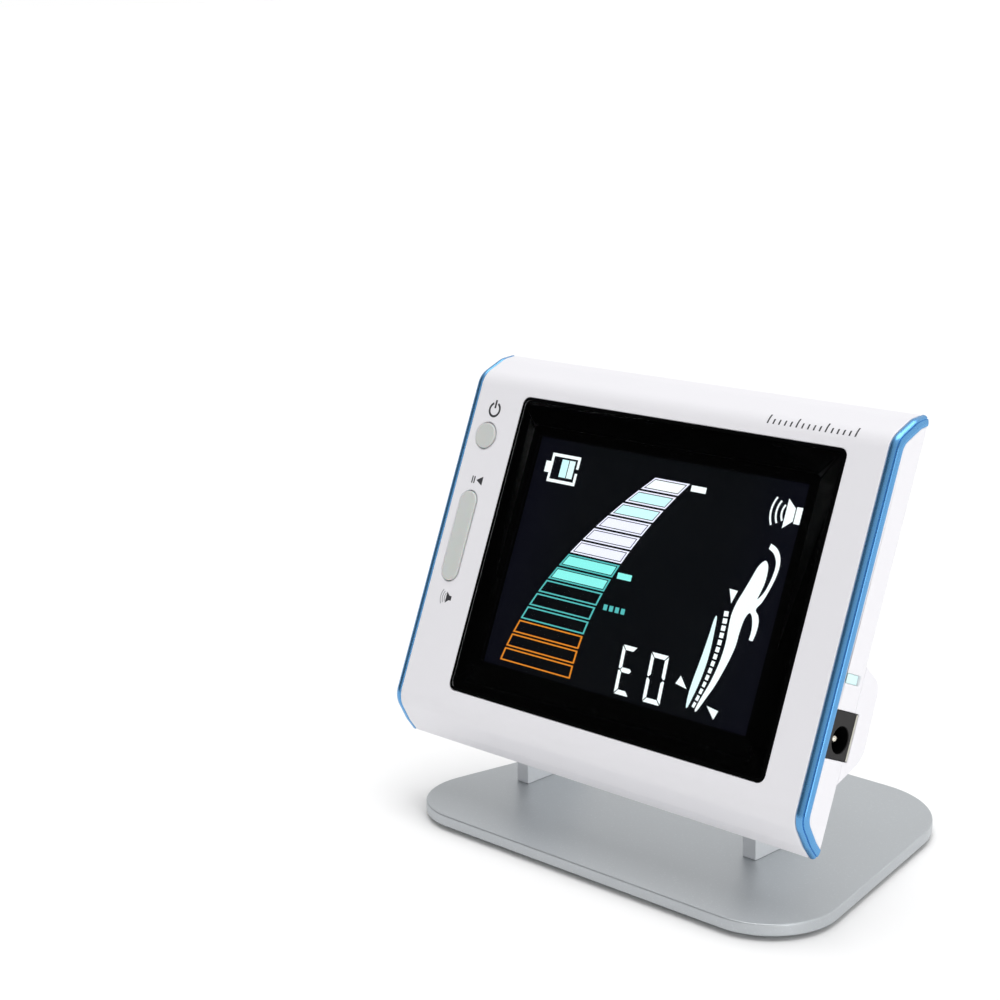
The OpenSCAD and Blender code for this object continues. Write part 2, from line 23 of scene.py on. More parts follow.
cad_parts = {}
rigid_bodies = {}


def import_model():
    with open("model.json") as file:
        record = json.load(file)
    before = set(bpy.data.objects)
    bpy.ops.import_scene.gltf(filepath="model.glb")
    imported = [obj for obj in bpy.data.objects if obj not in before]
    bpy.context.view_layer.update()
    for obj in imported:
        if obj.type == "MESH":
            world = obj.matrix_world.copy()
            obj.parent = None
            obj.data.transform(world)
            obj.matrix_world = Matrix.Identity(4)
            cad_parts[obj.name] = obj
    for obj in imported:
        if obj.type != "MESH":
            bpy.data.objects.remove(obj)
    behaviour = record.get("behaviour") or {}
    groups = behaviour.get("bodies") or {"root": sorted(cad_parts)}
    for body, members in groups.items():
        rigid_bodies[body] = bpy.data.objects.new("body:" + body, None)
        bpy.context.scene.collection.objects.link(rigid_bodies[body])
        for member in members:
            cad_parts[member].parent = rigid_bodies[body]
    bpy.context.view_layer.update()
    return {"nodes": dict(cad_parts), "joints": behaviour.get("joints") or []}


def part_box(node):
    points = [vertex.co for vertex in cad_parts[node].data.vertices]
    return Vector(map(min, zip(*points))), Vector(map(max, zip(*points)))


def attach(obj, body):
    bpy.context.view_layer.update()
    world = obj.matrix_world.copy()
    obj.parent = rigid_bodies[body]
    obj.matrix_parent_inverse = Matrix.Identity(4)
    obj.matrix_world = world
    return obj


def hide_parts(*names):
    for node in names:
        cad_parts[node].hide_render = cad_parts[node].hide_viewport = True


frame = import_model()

log = logging.getLogger("apex_locator")

MM = 0.001
Colour = tuple[float, float, float]
Point = tuple[float, float]
Outline = list[Point]

NEAR = 0.01  # millimetres within which two places count as one
STRAIGHT = 0.001  # millimetres by which a straight edge may stray
FACING = 0.9  # how closely a face looks the way that is asked for, 1 being exactly
SAME_WAY = 0.999  # the same, for faces that lie square to a sweep


def screen_colour(red: int, green: int, blue: int) -> Colour:
    """Turns a colour as a screen shows it into linear light.

    Args:
        red: Red from 0 to 255.
        green: Green from 0 to 255.
        blue: Blue from 0 to 255.

    Returns:
        The three linear values, from 0 to 1.
    """
    knee, foot, slope, lift, power = 0.04045, 12.92, 1.055, 0.055, 2.4
    shown = (value / 255 for value in (red, green, blue))
    return tuple(v / foot if v <= knee else ((v + lift) / slope) ** power for v in shown)


# ---------- benches ----------


@dataclass(frozen=True)
class HeadShape:
    """Sizes of the leaning screen unit that more than one piece follows.

    Its side profile is a flat panel with two more faces at each end: `high` and `low`
    give the corners between them as [depth, height], and every corner is a round bend.
    """

    half_width: float = 67.0
    depth: float = 9.5
    high: tuple[Point, ...] = ((0.0, 43.2), (6.0, 49.1), (9.5, 50.9))
    low: tuple[Point, ...] = ((0.0, -45.3), (6.0, -50.3), (9.5, -52.4))
    bend: float = 6.0
    screen_x: float = 3.0
    glass_thickness: float = 1.0

    def turns(self, corners: Sequence[Point]) -> tuple[float, float]:
        """Works out how far an end turns at its first and second corner.

        Args:
            corners: The end's corners as [depth, height].

        Returns:
            The two angles in degrees.
        """
        first, second = (
            math.degrees(math.atan2(b[0] - a[0], abs(b[1] - a[1])))
            for a, b in zip(corners, corners[1:]))
        return first, second - first

    def bend_reach(self, turn: float) -> float:
        """How far before its corner a bend of this many degrees starts."""
        return self.bend * math.tan(math.radians(turn / 2))

    @property
    def flat_top(self) -> float:
        """Height at which the flat panel ends and its upper bend begins."""
        return self.high[0][1] - self.bend_reach(self.turns(self.high)[0])

    @property
    def flat_bottom(self) -> float:
        """Height at which the flat panel ends and its lower bend begins."""
        return self.low[0][1] + self.bend_reach(self.turns(self.low)[0])


SHAPE = HeadShape()
STAND_BENCH = Matrix.Scale(MM, 4)


def lay_head_bench() -> Matrix:
    """Finds the screen unit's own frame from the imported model.

    Returns:
        The matrix from the head's bench, in millimetres, to the object's frame.
    """
    press = next(j for j in frame["joints"] if j["name"] == "power_key_press")
    inward = Vector(press["axis"]).normalized()
    turn = Matrix.Rotation(-math.atan2(-inward.z, inward.y), 4, "X")
    low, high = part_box("screen_glass")
    middle = Vector((SHAPE.screen_x, SHAPE.glass_thickness / 2, 0)) * MM
    return Matrix.Translation((low + high) / 2 - turn @ middle) @ turn @ Matrix.Scale(MM, 4)


HEAD_BENCH = lay_head_bench()


# ---------- finishes ----------


def new_group(name: str, inputs: dict[str, str], outputs: dict[str, str]) -> bpy.types.NodeTree:
    """Starts a shader node group with named sockets.

    Args:
        name: The group's name.
        inputs: Socket names and kinds that the group takes.
        outputs: Socket names and kinds that the group gives.

    Returns:
        The group, with its two end nodes named "in" and "out".
    """
    group = bpy.data.node_groups.new(name, "ShaderNodeTree")
    for label, kind in inputs.items():
        group.interface.new_socket(label, in_out="INPUT", socket_type=f"NodeSocket{kind}")
    for label, kind in outputs.items():
        group.interface.new_socket(label, in_out="OUTPUT", socket_type=f"NodeSocket{kind}")
    group.nodes.new("NodeGroupInput").name = "in"
    group.nodes.new("NodeGroupOutput").name = "out"
    return group


def add_node(tree: bpy.types.NodeTree, kind: str, settings: dict | None = None,
             **links: object) -> bpy.types.Node:
    """Adds a node and feeds its inputs.

    Args:
        tree: The tree that gets the node.
        kind: The node's type without the "ShaderNode" in front.
        settings: Properties of the node itself.
        **links: Input names, with "_" for spaces, or "i0", "i1" for an index. Each is a
            socket to link from or a plain value.

    Returns:
        The new node.
    """
    node = tree.nodes.new(f"ShaderNode{kind}")
    for name, value in (settings or {}).items():
        setattr(node, name, value)
    for name, value in links.items():
        numbered = name[0] == "i" and name[1:].isdigit()
        socket = node.inputs[int(name[1:])] if numbered else node.inputs[name.replace("_", " ")]
        if isinstance(value, bpy.types.NodeSocket):
            tree.links.new(value, socket)
        else:
            socket.default_value = value
    return node


def maths(tree: bpy.types.NodeTree, operation: str, *values: object) -> bpy.types.NodeSocket:
    """One Math node's result.

    Args:
        tree: The tree that gets the node.
        operation: The node's operation.
        *values: Its inputs, sockets or numbers.

    Returns:
        The output socket.
    """
    fed = {f"i{index}": value for index, value in enumerate(values)}
    return add_node(tree, "Math", {"operation": operation}, **fed).outputs[0]


@cache
def surface_grain() -> bpy.types.NodeTree:
    """A moulded or blasted surface: fine grain over soft clouds, in colour, roughness and height.

    Returns:
        The shared node group.
    """
    group = new_group(
        "surface_grain",
        {"Vector": "Vector", "Colour": "Color", "Shade": "Float", "Roughness": "Float",
         "Spread": "Float", "Grain": "Float", "Clouds": "Float"},
        {"Colour": "Color", "Roughness": "Float", "Height": "Float"},
    )
    given = group.nodes["in"].outputs
    fine = add_node(group, "TexNoise", None, Vector=given["Vector"], Scale=given["Grain"],
                    Detail=3.0, Roughness=0.6).outputs[0]
    soft = add_node(group, "TexNoise", None, Vector=given["Vector"], Scale=given["Clouds"],
                    Detail=2.0, Roughness=0.5).outputs[0]
    both = maths(group, "ADD", fine, soft)
    swing = maths(group, "MULTIPLY", maths(group, "SUBTRACT", both, 1.0), given["Shade"])
    shaded = add_node(group, "HueSaturation", None, Value=maths(group, "ADD", swing, 1.0),
                      Color=given["Colour"])
    rough = maths(group, "MULTIPLY_ADD", maths(group, "SUBTRACT", both, 1.0), given["Spread"],
                  given["Roughness"])
    ends = group.nodes["out"].inputs
    group.links.new(shaded.outputs[0], ends["Colour"])
    group.links.new(rough, ends["Roughness"])
    group.links.new(fine, ends["Height"])
    return group


@cache
def painted_glint_flakes() -> bpy.types.NodeTree:
    """Small lighter flakes painted into the colour: painted glints, standing in for the sparkle
    of blasted metal and metallic paint.

    Returns:
        The shared node group.
    """
    group = new_group("painted_glint_flakes",
                      {"Vector": "Vector", "Colour": "Color", "Flake Colour": "Color",
                       "Scale": "Float", "Share": "Float"},
                      {"Colour": "Color", "Mask": "Float"})
    given = group.nodes["in"].outputs
    cells = add_node(group, "TexVoronoi", None, Vector=given["Vector"], Scale=given["Scale"])
    level = add_node(group, "SeparateColor", None, Color=cells.outputs["Color"]).outputs[0]
    mask = maths(group, "GREATER_THAN", level, maths(group, "SUBTRACT", 1.0, given["Share"]))
    mixed = add_node(group, "Mix", {"data_type": "RGBA"}, i0=mask, i6=given["Colour"],
                     i7=given["Flake Colour"])
    ends = group.nodes["out"].inputs
    group.links.new(mixed.outputs[2], ends["Colour"])
    group.links.new(mask, ends["Mask"])
    return group


@dataclass(frozen=True)
class Finish:
    """A surface finish. Lengths are millimetres.

    The colour varies by `shade`, the roughness by `spread`; `grain` is the size of the
    texture, `relief` its height and `clouds` the size of the soft patches. `softness`
    lets light in to `soft_depth`.
    """

    name: str
    colour: Colour
    slot: str
    roughness: float = 0.45
    metallic: float = 0.0
    shade: float = 0.05
    spread: float = 0.12
    grain: float = 0.6
    relief: float = 0.003
    clouds: float = 30.0
    specular: float = 0.5
    coat: float = 0.0
    coat_roughness: float = 0.12
    softness: float = 0.0
    soft_depth: float = 2.0
    # share, colour and size of lighter flakes painted in as glints
    flake_share: float = 0.0
    flake_colour: Colour = (1.0, 1.0, 1.0)
    flake_size: float = 0.4

    def shader(self, tree: bpy.types.NodeTree) -> bpy.types.Node:
        """Adds the shader with the values that are the same all over."""
        shader = add_node(tree, "BsdfPrincipled", None, Metallic=self.metallic,
                          Specular_IOR_Level=self.specular, Coat_Weight=self.coat,
                          Coat_Roughness=self.coat_roughness,
                          Subsurface_Weight=self.softness,
                          Subsurface_Scale=self.soft_depth * MM)
        return shader

    def grained(self, tree: bpy.types.NodeTree, place: bpy.types.NodeSocket,
                colour: object) -> bpy.types.Node:
        """Adds the surface grain over a colour, with this finish's values."""
        return add_node(tree, "Group", {"node_tree": surface_grain()}, Vector=place,
                        Colour=colour, Shade=self.shade, Roughness=self.roughness,
                        Spread=self.spread, Grain=1 / (self.grain * MM),
                        Clouds=1 / (self.clouds * MM))

    def dress(self, tree: bpy.types.NodeTree, shader: bpy.types.Node) -> None:
        """Feeds the shader's colour, roughness and normal.

        Args:
            tree: The material's node tree.
            shader: Its Principled shader.
        """
        place = add_node(tree, "TexCoord").outputs["Object"]
        colour: object = (*self.colour, 1.0)
        # Painted glints: lighter flakes mixed into the colour.
        if self.flake_share:
            flakes = add_node(tree, "Group", {"node_tree": painted_glint_flakes()}, Vector=place,
                              Colour=colour, Flake_Colour=(*self.flake_colour, 1.0),
                              Scale=1 / (self.flake_size * MM), Share=self.flake_share)
            colour = flakes.outputs["Colour"]
        grain = self.grained(tree, place, colour)
        bump = add_node(tree, "Bump", None, Strength=1.0, Distance=self.relief * MM,
                        Height=grain.outputs["Height"])
        tree.links.new(grain.outputs["Colour"], shader.inputs["Base Color"])
        tree.links.new(grain.outputs["Roughness"], shader.inputs["Roughness"])
        tree.links.new(bump.outputs[0], shader.inputs["Normal"])

    @cache
    def material(self) -> bpy.types.Material:
        """Builds the material once.

        Returns:
            The material that every piece with this finish shares.
        """
        made = bpy.data.materials.new(self.name)
        made.use_nodes = True
        made.node_tree.nodes.clear()
        shader = self.shader(made.node_tree)
        self.dress(made.node_tree, shader)
        end = made.node_tree.nodes.new("ShaderNodeOutputMaterial")
        made.node_tree.links.new(shader.outputs[0], end.inputs["Surface"])
        return made


@dataclass(frozen=True)
class ClearGlass(Finish):
    """Clear glass with an anti-reflection coating."""

    ior: float = 1.5

    def shader(self, tree: bpy.types.NodeTree) -> bpy.types.Node:
        """Adds the shader of a clear sheet."""
        return add_node(tree, "BsdfPrincipled", None, Metallic=0.0, Transmission_Weight=1.0,
                        IOR=self.ior, Specular_IOR_Level=self.specular)


@dataclass(frozen=True)
class Glow(Finish):
    """A lit part of the display, which also gives off its own light."""

    strength: float = 1.0
    specular: float = 0.1
    unlit: float = 0.03

    def shader(self, tree: bpy.types.NodeTree) -> bpy.types.Node:
        """Adds a dark shader that glows."""
        return add_node(tree, "BsdfPrincipled", None, Specular_IOR_Level=self.specular,
                        Emission_Strength=self.strength)

    def dress(self, tree: bpy.types.NodeTree, shader: bpy.types.Node) -> None:
        """Feeds the glow with a slightly uneven colour.

        Args:
            tree: The material's node tree.
            shader: Its Principled shader.
        """
        place = add_node(tree, "TexCoord").outputs["Object"]
        grain = self.grained(tree, place, (*self.colour, 1.0))
        dark = add_node(tree, "HueSaturation", None, Value=self.unlit,
                        Color=grain.outputs["Colour"])
        tree.links.new(dark.outputs[0], shader.inputs["Base Color"])
        tree.links.new(grain.outputs["Colour"], shader.inputs["Emission Color"])
        tree.links.new(grain.outputs["Roughness"], shader.inputs["Roughness"])


@dataclass(frozen=True)
class DisplayGround(Glow):
    """The dark ground of the display, a little bluer towards its left and right ends."""

    edge_colour: Colour = (0.0018, 0.0021, 0.0055)
    half_width: float = 43.0
    middle: float = SHAPE.screen_x
    unlit_colour: Colour = (0.002, 0.002, 0.003)

    def dress(self, tree: bpy.types.NodeTree, shader: bpy.types.Node) -> None:
        """Feeds the glow with the ground's colour from the middle to the ends.

        Args:
            tree: The material's node tree.
            shader: Its Principled shader.
        """
        place = add_node(tree, "TexCoord").outputs["Object"]
        side = add_node(tree, "SeparateXYZ", None, Vector=place).outputs[0]
        reach = maths(tree, "ABSOLUTE", maths(tree, "SUBTRACT", side, self.middle * MM))
        rise = add_node(tree, "MapRange", {"interpolation_type": "SMOOTHSTEP"}, Value=reach,
                        From_Min=self.half_width * MM / 2, From_Max=self.half_width * MM)
        ground = add_node(tree, "Mix", {"data_type": "RGBA"}, i0=rise.outputs[0],
                          i6=(*self.colour, 1.0), i7=(*self.edge_colour, 1.0))
        grain = self.grained(tree, place, ground.outputs[2])
        tree.links.new(grain.outputs["Colour"], shader.inputs["Emission Color"])
        tree.links.new(grain.outputs["Roughness"], shader.inputs["Roughness"])
        shader.inputs["Base Color"].default_value = (*self.unlit_colour, 1.0)


@dataclass(frozen=True)
class CircuitBoard(Finish):
    """Green solder mask with raised copper tracks under it."""

    track_colour: Colour = (0.03, 0.22, 0.06)
    track_size: float = 3.0
    tracks: float = 4.0
    track_share: float = 0.35
    track_height: float = 0.03

    def dress(self, tree: bpy.types.NodeTree, shader: bpy.types.Node) -> None:
        """Feeds the shader with the board's tracks.

        Args:
            tree: The material's node tree.
            shader: Its Principled shader.
        """
        place = add_node(tree, "TexCoord").outputs["Object"]
        edges = add_node(tree, "TexVoronoi", {"feature": "F1", "distance": "MANHATTAN"},
                         Vector=place, Scale=1 / (self.track_size * MM))
        rings = maths(tree, "FRACT", maths(tree, "MULTIPLY", edges.outputs["Distance"],
                                     self.tracks))
        track = maths(tree, "LESS_THAN", rings, self.track_share)
        mixed = add_node(tree, "Mix", {"data_type": "RGBA"}, i0=track,
                         i6=(*self.colour, 1.0), i7=(*self.track_colour, 1.0))
        grain = self.grained(tree, place, mixed.outputs[2])
        bump = add_node(tree, "Bump", None, Strength=1.0,
                        Distance=self.track_height * MM, Height=track)
        tree.links.new(grain.outputs["Colour"], shader.inputs["Base Color"])
        tree.links.new(grain.outputs["Roughness"], shader.inputs["Roughness"])
        tree.links.new(bump.outputs[0], shader.inputs["Normal"])


CASING_WHITE = Finish("casing_white", screen_colour(231, 230, 234), "casing_white",
                      roughness=0.42, shade=0.012, spread=0.08, grain=0.35, relief=0.004)
TRIM_BLUE = Finish("trim_blue", screen_colour(94, 158, 211), "trim_blue", roughness=0.27,
                   metallic=0.8, shade=0.03, spread=0.04, grain=1.2, relief=0.0004, coat=0.3)
# Its lighter flakes are painted glints.
BLASTED_ALUMINIUM = Finish("blasted_aluminium", screen_colour(186, 190, 193),
                           "blasted_aluminium", roughness=0.42, metallic=0.75, shade=0.05,
                           spread=0.12, grain=0.5, relief=0.01, clouds=40,
                           flake_share=0.05, flake_colour=screen_colour(192, 196, 199),
                           flake_size=0.3)
# Painted light: a lighter copy of the plate's blasted aluminium for the legs, making up for the
# head's shadow on them.
LEG_ALUMINIUM_LIGHTENED = Finish("leg_aluminium_painted_light", screen_colour(224, 227, 230), "blasted_aluminium",
                       roughness=0.46, metallic=0.45, shade=0.04, spread=0.1, grain=0.5,
                       relief=0.008, clouds=30)
PAD_RUBBER = Finish("pad_rubber", screen_colour(58, 59, 60), "pad_rubber", roughness=0.85,
                    shade=0.12, grain=0.5, relief=0.02, specular=0.3)
SCREW_STEEL = Finish("screw_steel", screen_colour(150, 152, 156), "screw_steel",
                     roughness=0.32, metallic=1.0, shade=0.1, grain=0.2, relief=0.002)
WASHER_PLASTIC = Finish("washer_plastic", screen_colour(40, 40, 42), "washer_plastic",
                        roughness=0.6, shade=0.08)
COVER_GLASS = ClearGlass("cover_glass", (0.97, 0.98, 0.98), "cover_glass", roughness=0.015,
                         shade=0.01, spread=0.006, grain=20.0, relief=0.0002, clouds=60.0,
                         specular=0.15)
MASK_BLACK = Finish("mask_black", (0.0008, 0.0009, 0.0009), "mask_black", roughness=0.7,
                    shade=0.1, spread=0.05, relief=0.001, specular=0.02)
# Painted shade: near-black colour of the sleeve that darkens the charging socket's hole.
SOCKET_HOLE_PAINTED_SHADE = Finish("socket_hole_painted_shade", (0.001, 0.001, 0.001), "socket_black", roughness=0.7,
                      shade=0.1, spread=0.05, specular=0.05)
DISPLAY_GROUND = DisplayGround("display_ground", (0.0016, 0.0022, 0.0031), "display",
                               roughness=0.5, shade=0.3, spread=0.05, grain=6.0,
                               clouds=45.0)
LIT_WHITE = Glow("display_white", screen_colour(246, 254, 255), "display", shade=0.01,
                 strength=1.2)
LIT_PALE = Glow("display_pale_cyan", screen_colour(204, 248, 250), "display", shade=0.01,
                strength=1.24)
LIT_FAINT = Glow("display_faint_cyan", screen_colour(224, 248, 249), "display", shade=0.01,
                 strength=1.22)
LIT_LILAC = Glow("display_lilac", screen_colour(236, 238, 255), "display", shade=0.01,
                 strength=1.24)
LIT_TEAL = Glow("display_teal", screen_colour(138, 242, 234), "display", shade=0.01,
                strength=1.2)
LINE_TEAL = Glow("display_teal_line", screen_colour(92, 200, 198), "display", shade=0.05)
LINE_ORANGE = Glow("display_orange_line", screen_colour(240, 146, 44), "display", shade=0.06)
DIFFUSER = Finish("diffuser", screen_colour(236, 238, 240), "diffuser", roughness=0.5)
RIBBON_FILM = Finish("ribbon_film", screen_colour(196, 120, 40), "ribbon_film",
                     roughness=0.35, shade=0.1)
BOARD = CircuitBoard("circuit_board", screen_colour(22, 82, 40), "circuit_board",
                     roughness=0.38, shade=0.08)
CHIP_BLACK = Finish("chip_black", screen_colour(34, 34, 36), "chip_black", roughness=0.55,
                    shade=0.1, grain=0.2, relief=0.006)
KEY_SILICONE = Finish("key_silicone", screen_colour(196, 200, 197), "key_silicone",
                      roughness=0.6, shade=0.02, grain=0.4, relief=0.004, softness=0.25)
SWITCH_BLACK = Finish("switch_black", screen_colour(38, 38, 40), "switch_black",
                      roughness=0.5, shade=0.08)
SOCKET_BLACK = Finish("socket_black", screen_colour(25, 23, 23), "socket_black",
                      roughness=0.5, shade=0.2, spread=0.1, grain=0.4, relief=0.01,
                      clouds=8, specular=0.3)
# Painted highlight: pale colour of the strip on the charging socket's lit rear edge.
SOCKET_EDGE_PAINTED_HIGHLIGHT = Finish("socket_edge_painted_highlight", screen_colour(196, 194, 182), "socket_black",
                     roughness=0.5, shade=0.05)
# Painted shade: colour of the dark block set where the lead socket's opening lies in shadow.
SLOT_PAINTED_SHADE = Finish("slot_painted_shade", screen_colour(42, 66, 66), "socket_black", roughness=0.6,
                   shade=0.1)
CONTACT_METAL = Finish("contact_metal", screen_colour(226, 220, 206), "contact_metal",
                       roughness=0.22, metallic=1.0, shade=0.06, grain=0.3, relief=0.001)
CONTACT_CARRIER = Finish("contact_carrier", screen_colour(222, 252, 252),
                         "contact_carrier", roughness=0.4, shade=0.02)
BATTERY_WRAP = Finish("battery_wrap", screen_colour(60, 110, 160), "battery_wrap",
                      roughness=0.3, shade=0.08, grain=1.5, relief=0.01)
SPEAKER_BLACK = Finish("speaker_black", screen_colour(36, 36, 38), "speaker_black",
                       roughness=0.7, shade=0.12)
PRINT_INK = Finish("print_ink", screen_colour(48, 48, 52), "casing_white", roughness=0.6,
                   shade=0.08, grain=0.3)
PALE_INK = Finish("print_ink_pale", screen_colour(150, 150, 154), "casing_white",
                  roughness=0.6, shade=0.06, grain=0.3)


# ---------- modelling ----------


class Part(Enum):
    """What a selection picks."""

    VERTEX = "VERT"
    EDGE = "EDGE"
    FACE = "FACE"


def select_only(*objects: bpy.types.Object) -> None:
    """Selects these objects alone and makes the first one active.

    Args:
        *objects: The objects.
    """
    for other in bpy.context.view_layer.objects:
        other.select_set(False)
    for obj in objects:
        obj.select_set(True)
    bpy.context.view_layer.objects.active = objects[0]


class Piece:
    """A mesh on its bench, in millimetres, shaped with edit-mode operators."""

    node_merge = 0.002
    node_flat = 0.4
    drawing_merge = 0.0005

    def __init__(self, name: str, bench: Matrix) -> None:
        """Names the piece and its bench.

        Args:
            name: The finished piece's name.
            bench: The matrix from the bench to the object's frame.
        """
        self.name = name
        self.bench = bench
        self.obj: bpy.types.Object | None = None

    # starts

    def _take(self) -> Piece:
        """Takes the object that an operator has just added, with its place in its mesh."""
        self.obj = bpy.context.active_object
        self.obj.name = self.name
        select_only(self.obj)
        bpy.ops.object.transform_apply(location=True, rotation=True, scale=True)
        return self

    def box(self, low: Sequence[float], high: Sequence[float]) -> Piece:
        """Starts from a box.

        Args:
            low: Its lowest corner.
            high: Its highest corner.

        Returns:
            The piece.
        """
        low, high = Vector(low), Vector(high)
        bpy.ops.mesh.primitive_cube_add(size=1, location=(low + high) / 2, scale=high - low)
        return self._take()

    def rod(self, start: Sequence[float], end: Sequence[float], radius: float,
            sides: int = 48) -> Piece:
        """Starts from a round rod.

        Args:
            start: The middle of one end.
            end: The middle of the other end.
            radius: The rod's radius.
            sides: How many sides it has.

        Returns:
            The piece.
        """
        start, end = Vector(start), Vector(end)
        turn = (end - start).to_track_quat("Z", "Y").to_euler()
        bpy.ops.mesh.primitive_cylinder_add(vertices=sides, radius=radius,
                                            depth=(end - start).length,
                                            location=(start + end) / 2, rotation=turn)
        return self._take()

    def from_node(self, node: str) -> Piece:
        """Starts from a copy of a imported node, as one skin with whole flat faces.

        Args:
            node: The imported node's name.

        Returns:
            The piece.
        """
        self.obj = bpy.data.objects.new(self.name, frame["nodes"][node].data.copy())
        bpy.context.scene.collection.objects.link(self.obj)
        self.obj.data.transform(self.bench.inverted())
        self.obj.data.materials.clear()
        select_only(self.obj)
        bpy.ops.mesh.customdata_custom_splitnormals_clear()
        bpy.ops.object.mode_set(mode="EDIT")
        bpy.ops.mesh.select_all(action="SELECT")
        bpy.ops.mesh.remove_doubles(threshold=self.node_merge)
        bpy.ops.mesh.dissolve_limited(angle_limit=math.radians(self.node_flat))
        bpy.ops.object.mode_set(mode="OBJECT")
        return self

    def drawing(self, outlines: list[Outline], depth: float, thickness: float) -> Piece:
        """Starts from flat outlines drawn on the panel; an outline inside another is a hole.

        Args:
            outlines: Closed outlines of [x, height] points.
            depth: Depth of the drawing's rear side behind the panel's face.
            thickness: Its thickness towards the front.

        Returns:
            The piece.
        """
        curve = bpy.data.curves.new(self.name, "CURVE")
        curve.dimensions = "2D"
        curve.fill_mode = "BOTH"
        curve.extrude = thickness / 2
        for outline in outlines:
            spline = curve.splines.new("POLY")
            spline.points.add(len(outline) - 1)
            for place, (x, height) in zip(spline.points, outline):
                place.co = (x, height, 0, 1)
            spline.use_cyclic_u = True
        self.obj = bpy.data.objects.new(self.name, curve)
        bpy.context.scene.collection.objects.link(self.obj)
        select_only(self.obj)
        bpy.ops.object.convert(target="MESH")
        self.obj = bpy.context.active_object
        self.obj.name = self.name
        stand_up = Matrix.Translation((0, depth - thickness / 2, 0)) @ Matrix.Rotation(
            math.pi / 2, 4, "X")
        self.obj.data.transform(stand_up)
        return self.work(lambda: bpy.ops.mesh.remove_doubles(
            threshold=self.drawing_merge))

    # selections

    def pick(self, part: Part, test: Callable[..., bool]) -> Piece:
        """Selects parts of the mesh by place or normal.

        Args:
            part: What to select.
            test: Takes a vertex's place, an edge's two ends, or a face's middle and normal.

        Returns:
            The piece.
        """
        select_only(self.obj)
        bpy.ops.object.mode_set(mode="EDIT")
        bpy.ops.mesh.select_mode(type=part.value)
        bpy.ops.mesh.select_all(action="DESELECT")
        bpy.ops.object.mode_set(mode="OBJECT")
        mesh = self.obj.data
        points = [v.co.copy() for v in mesh.vertices]
        if part is Part.VERTEX:
            for vertex in mesh.vertices:
                vertex.select = test(vertex.co)
        elif part is Part.EDGE:
            for edge in mesh.edges:
                edge.select = test(*(points[v] for v in edge.vertices))
        else:
            for face in mesh.polygons:
                face.select = test(face.center, face.normal)
        return self

    def work(self, action: Callable[[], object], everything: bool = True) -> Piece:
        """Runs an edit-mode operator.

        Args:
            action: Calls the operator.
            everything: Whether it works on the whole mesh or on what pick() selected.

        Returns:
            The piece.
        """
        select_only(self.obj)
        bpy.ops.object.mode_set(mode="EDIT")
        if everything:
            bpy.ops.mesh.select_mode(type="VERT")
            bpy.ops.mesh.select_all(action="SELECT")
        action()
        bpy.ops.object.mode_set(mode="OBJECT")
        return self

    # shaping of what is picked

    def bevel(self, width: float, segments: int, vertices: bool = False) -> Piece:
        """Rounds the picked edges, or the picked corners of a flat face."""
        return self.work(lambda: bpy.ops.mesh.bevel(
            offset=width, offset_type="OFFSET", segments=segments, profile=0.5,
            affect="VERTICES" if vertices else "EDGES", clamp_overlap=False), False)

    def inset(self, thickness: float, depth: float = 0.0) -> Piece:
        """Insets the picked faces, and raises them by a depth."""
        return self.work(lambda: bpy.ops.mesh.inset(thickness=thickness, depth=depth), False)

    def extrude(self, by: Sequence[float]) -> Piece:
        """Extrudes the picked faces."""
        return self.work(lambda: bpy.ops.mesh.extrude_region_move(
            TRANSFORM_OT_translate={"value": tuple(by)}), False)

    def move(self, by: Sequence[float]) -> Piece:
        """Moves the picked parts."""
        return self.work(lambda: bpy.ops.transform.translate(value=tuple(by)), False)

    def spin(self, angle: float, steps: int, centre: Sequence[float],
             axis: Sequence[float]) -> Piece:
        """Sweeps the picked face round an axis, in degrees."""
        return self.work(lambda: bpy.ops.mesh.spin(
            steps=steps, angle=math.radians(angle), center=tuple(centre),
            axis=tuple(axis)), False)

    # whole-mesh steps

    def cut_off(self, point: Sequence[float], outward: Sequence[float]) -> Piece:
        """Cuts the mesh with a plane and closes it, keeping the side behind the plane."""
        return self.work(lambda: bpy.ops.mesh.bisect(
            plane_co=tuple(point), plane_no=tuple(outward), use_fill=True,
            clear_outer=True))

    def modifier(self, kind: str, **settings: object) -> Piece:
        """Adds a modifier and applies it.

        Args:
            kind: The modifier's type.
            **settings: Its properties.

        Returns:
            The piece.
        """
        added = self.obj.modifiers.new(kind.lower(), kind)
        for name, value in settings.items():
            setattr(added, name, value)
        select_only(self.obj)
        bpy.ops.object.modifier_apply(modifier=added.name)
        return self

    def soften(self, width: float, segments: int = 2, sharp: float = 40.0) -> Piece:
        """Rounds every sharp edge.

        Args:
            width: Width of the rounding.
            segments: How many faces it has across.
            sharp: Edges that turn by more than this many degrees are rounded.

        Returns:
            The piece.
        """
        return self.modifier("BEVEL", width=width, segments=segments, limit_method="ANGLE",
                             angle_limit=math.radians(sharp), use_clamp_overlap=False,
                             miter_outer="MITER_ARC")

    def subtract(self, cutter: Piece) -> Piece:
        """Cuts another piece's shape out of this one and throws the cutter away.

        Args:
            cutter: The piece whose shape is cut out.

        Returns:
            The piece.
        """
        self.modifier("BOOLEAN", operation="DIFFERENCE", solver="EXACT", object=cutter.obj)
        bpy.data.objects.remove(cutter.obj)
        return self

    def join(self, *others: Piece) -> Piece:
        """Takes other pieces into this mesh.

        Args:
            *others: The pieces, which end here.

        Returns:
            The piece.
        """
        select_only(self.obj, *(other.obj for other in others))
        bpy.ops.object.join()
        return self

    def copy(self, move: Sequence[float]) -> Piece:
        """Makes a second piece of the same shape with its own mesh.

        Args:
            move: How far it is moved on the bench.

        Returns:
            The second piece.
        """
        twin = Piece(self.name, self.bench)
        twin.obj = bpy.data.objects.new(self.name, self.obj.data.copy())
        bpy.context.scene.collection.objects.link(twin.obj)
        twin.obj.data.transform(Matrix.Translation(move))
        return twin

    # the end

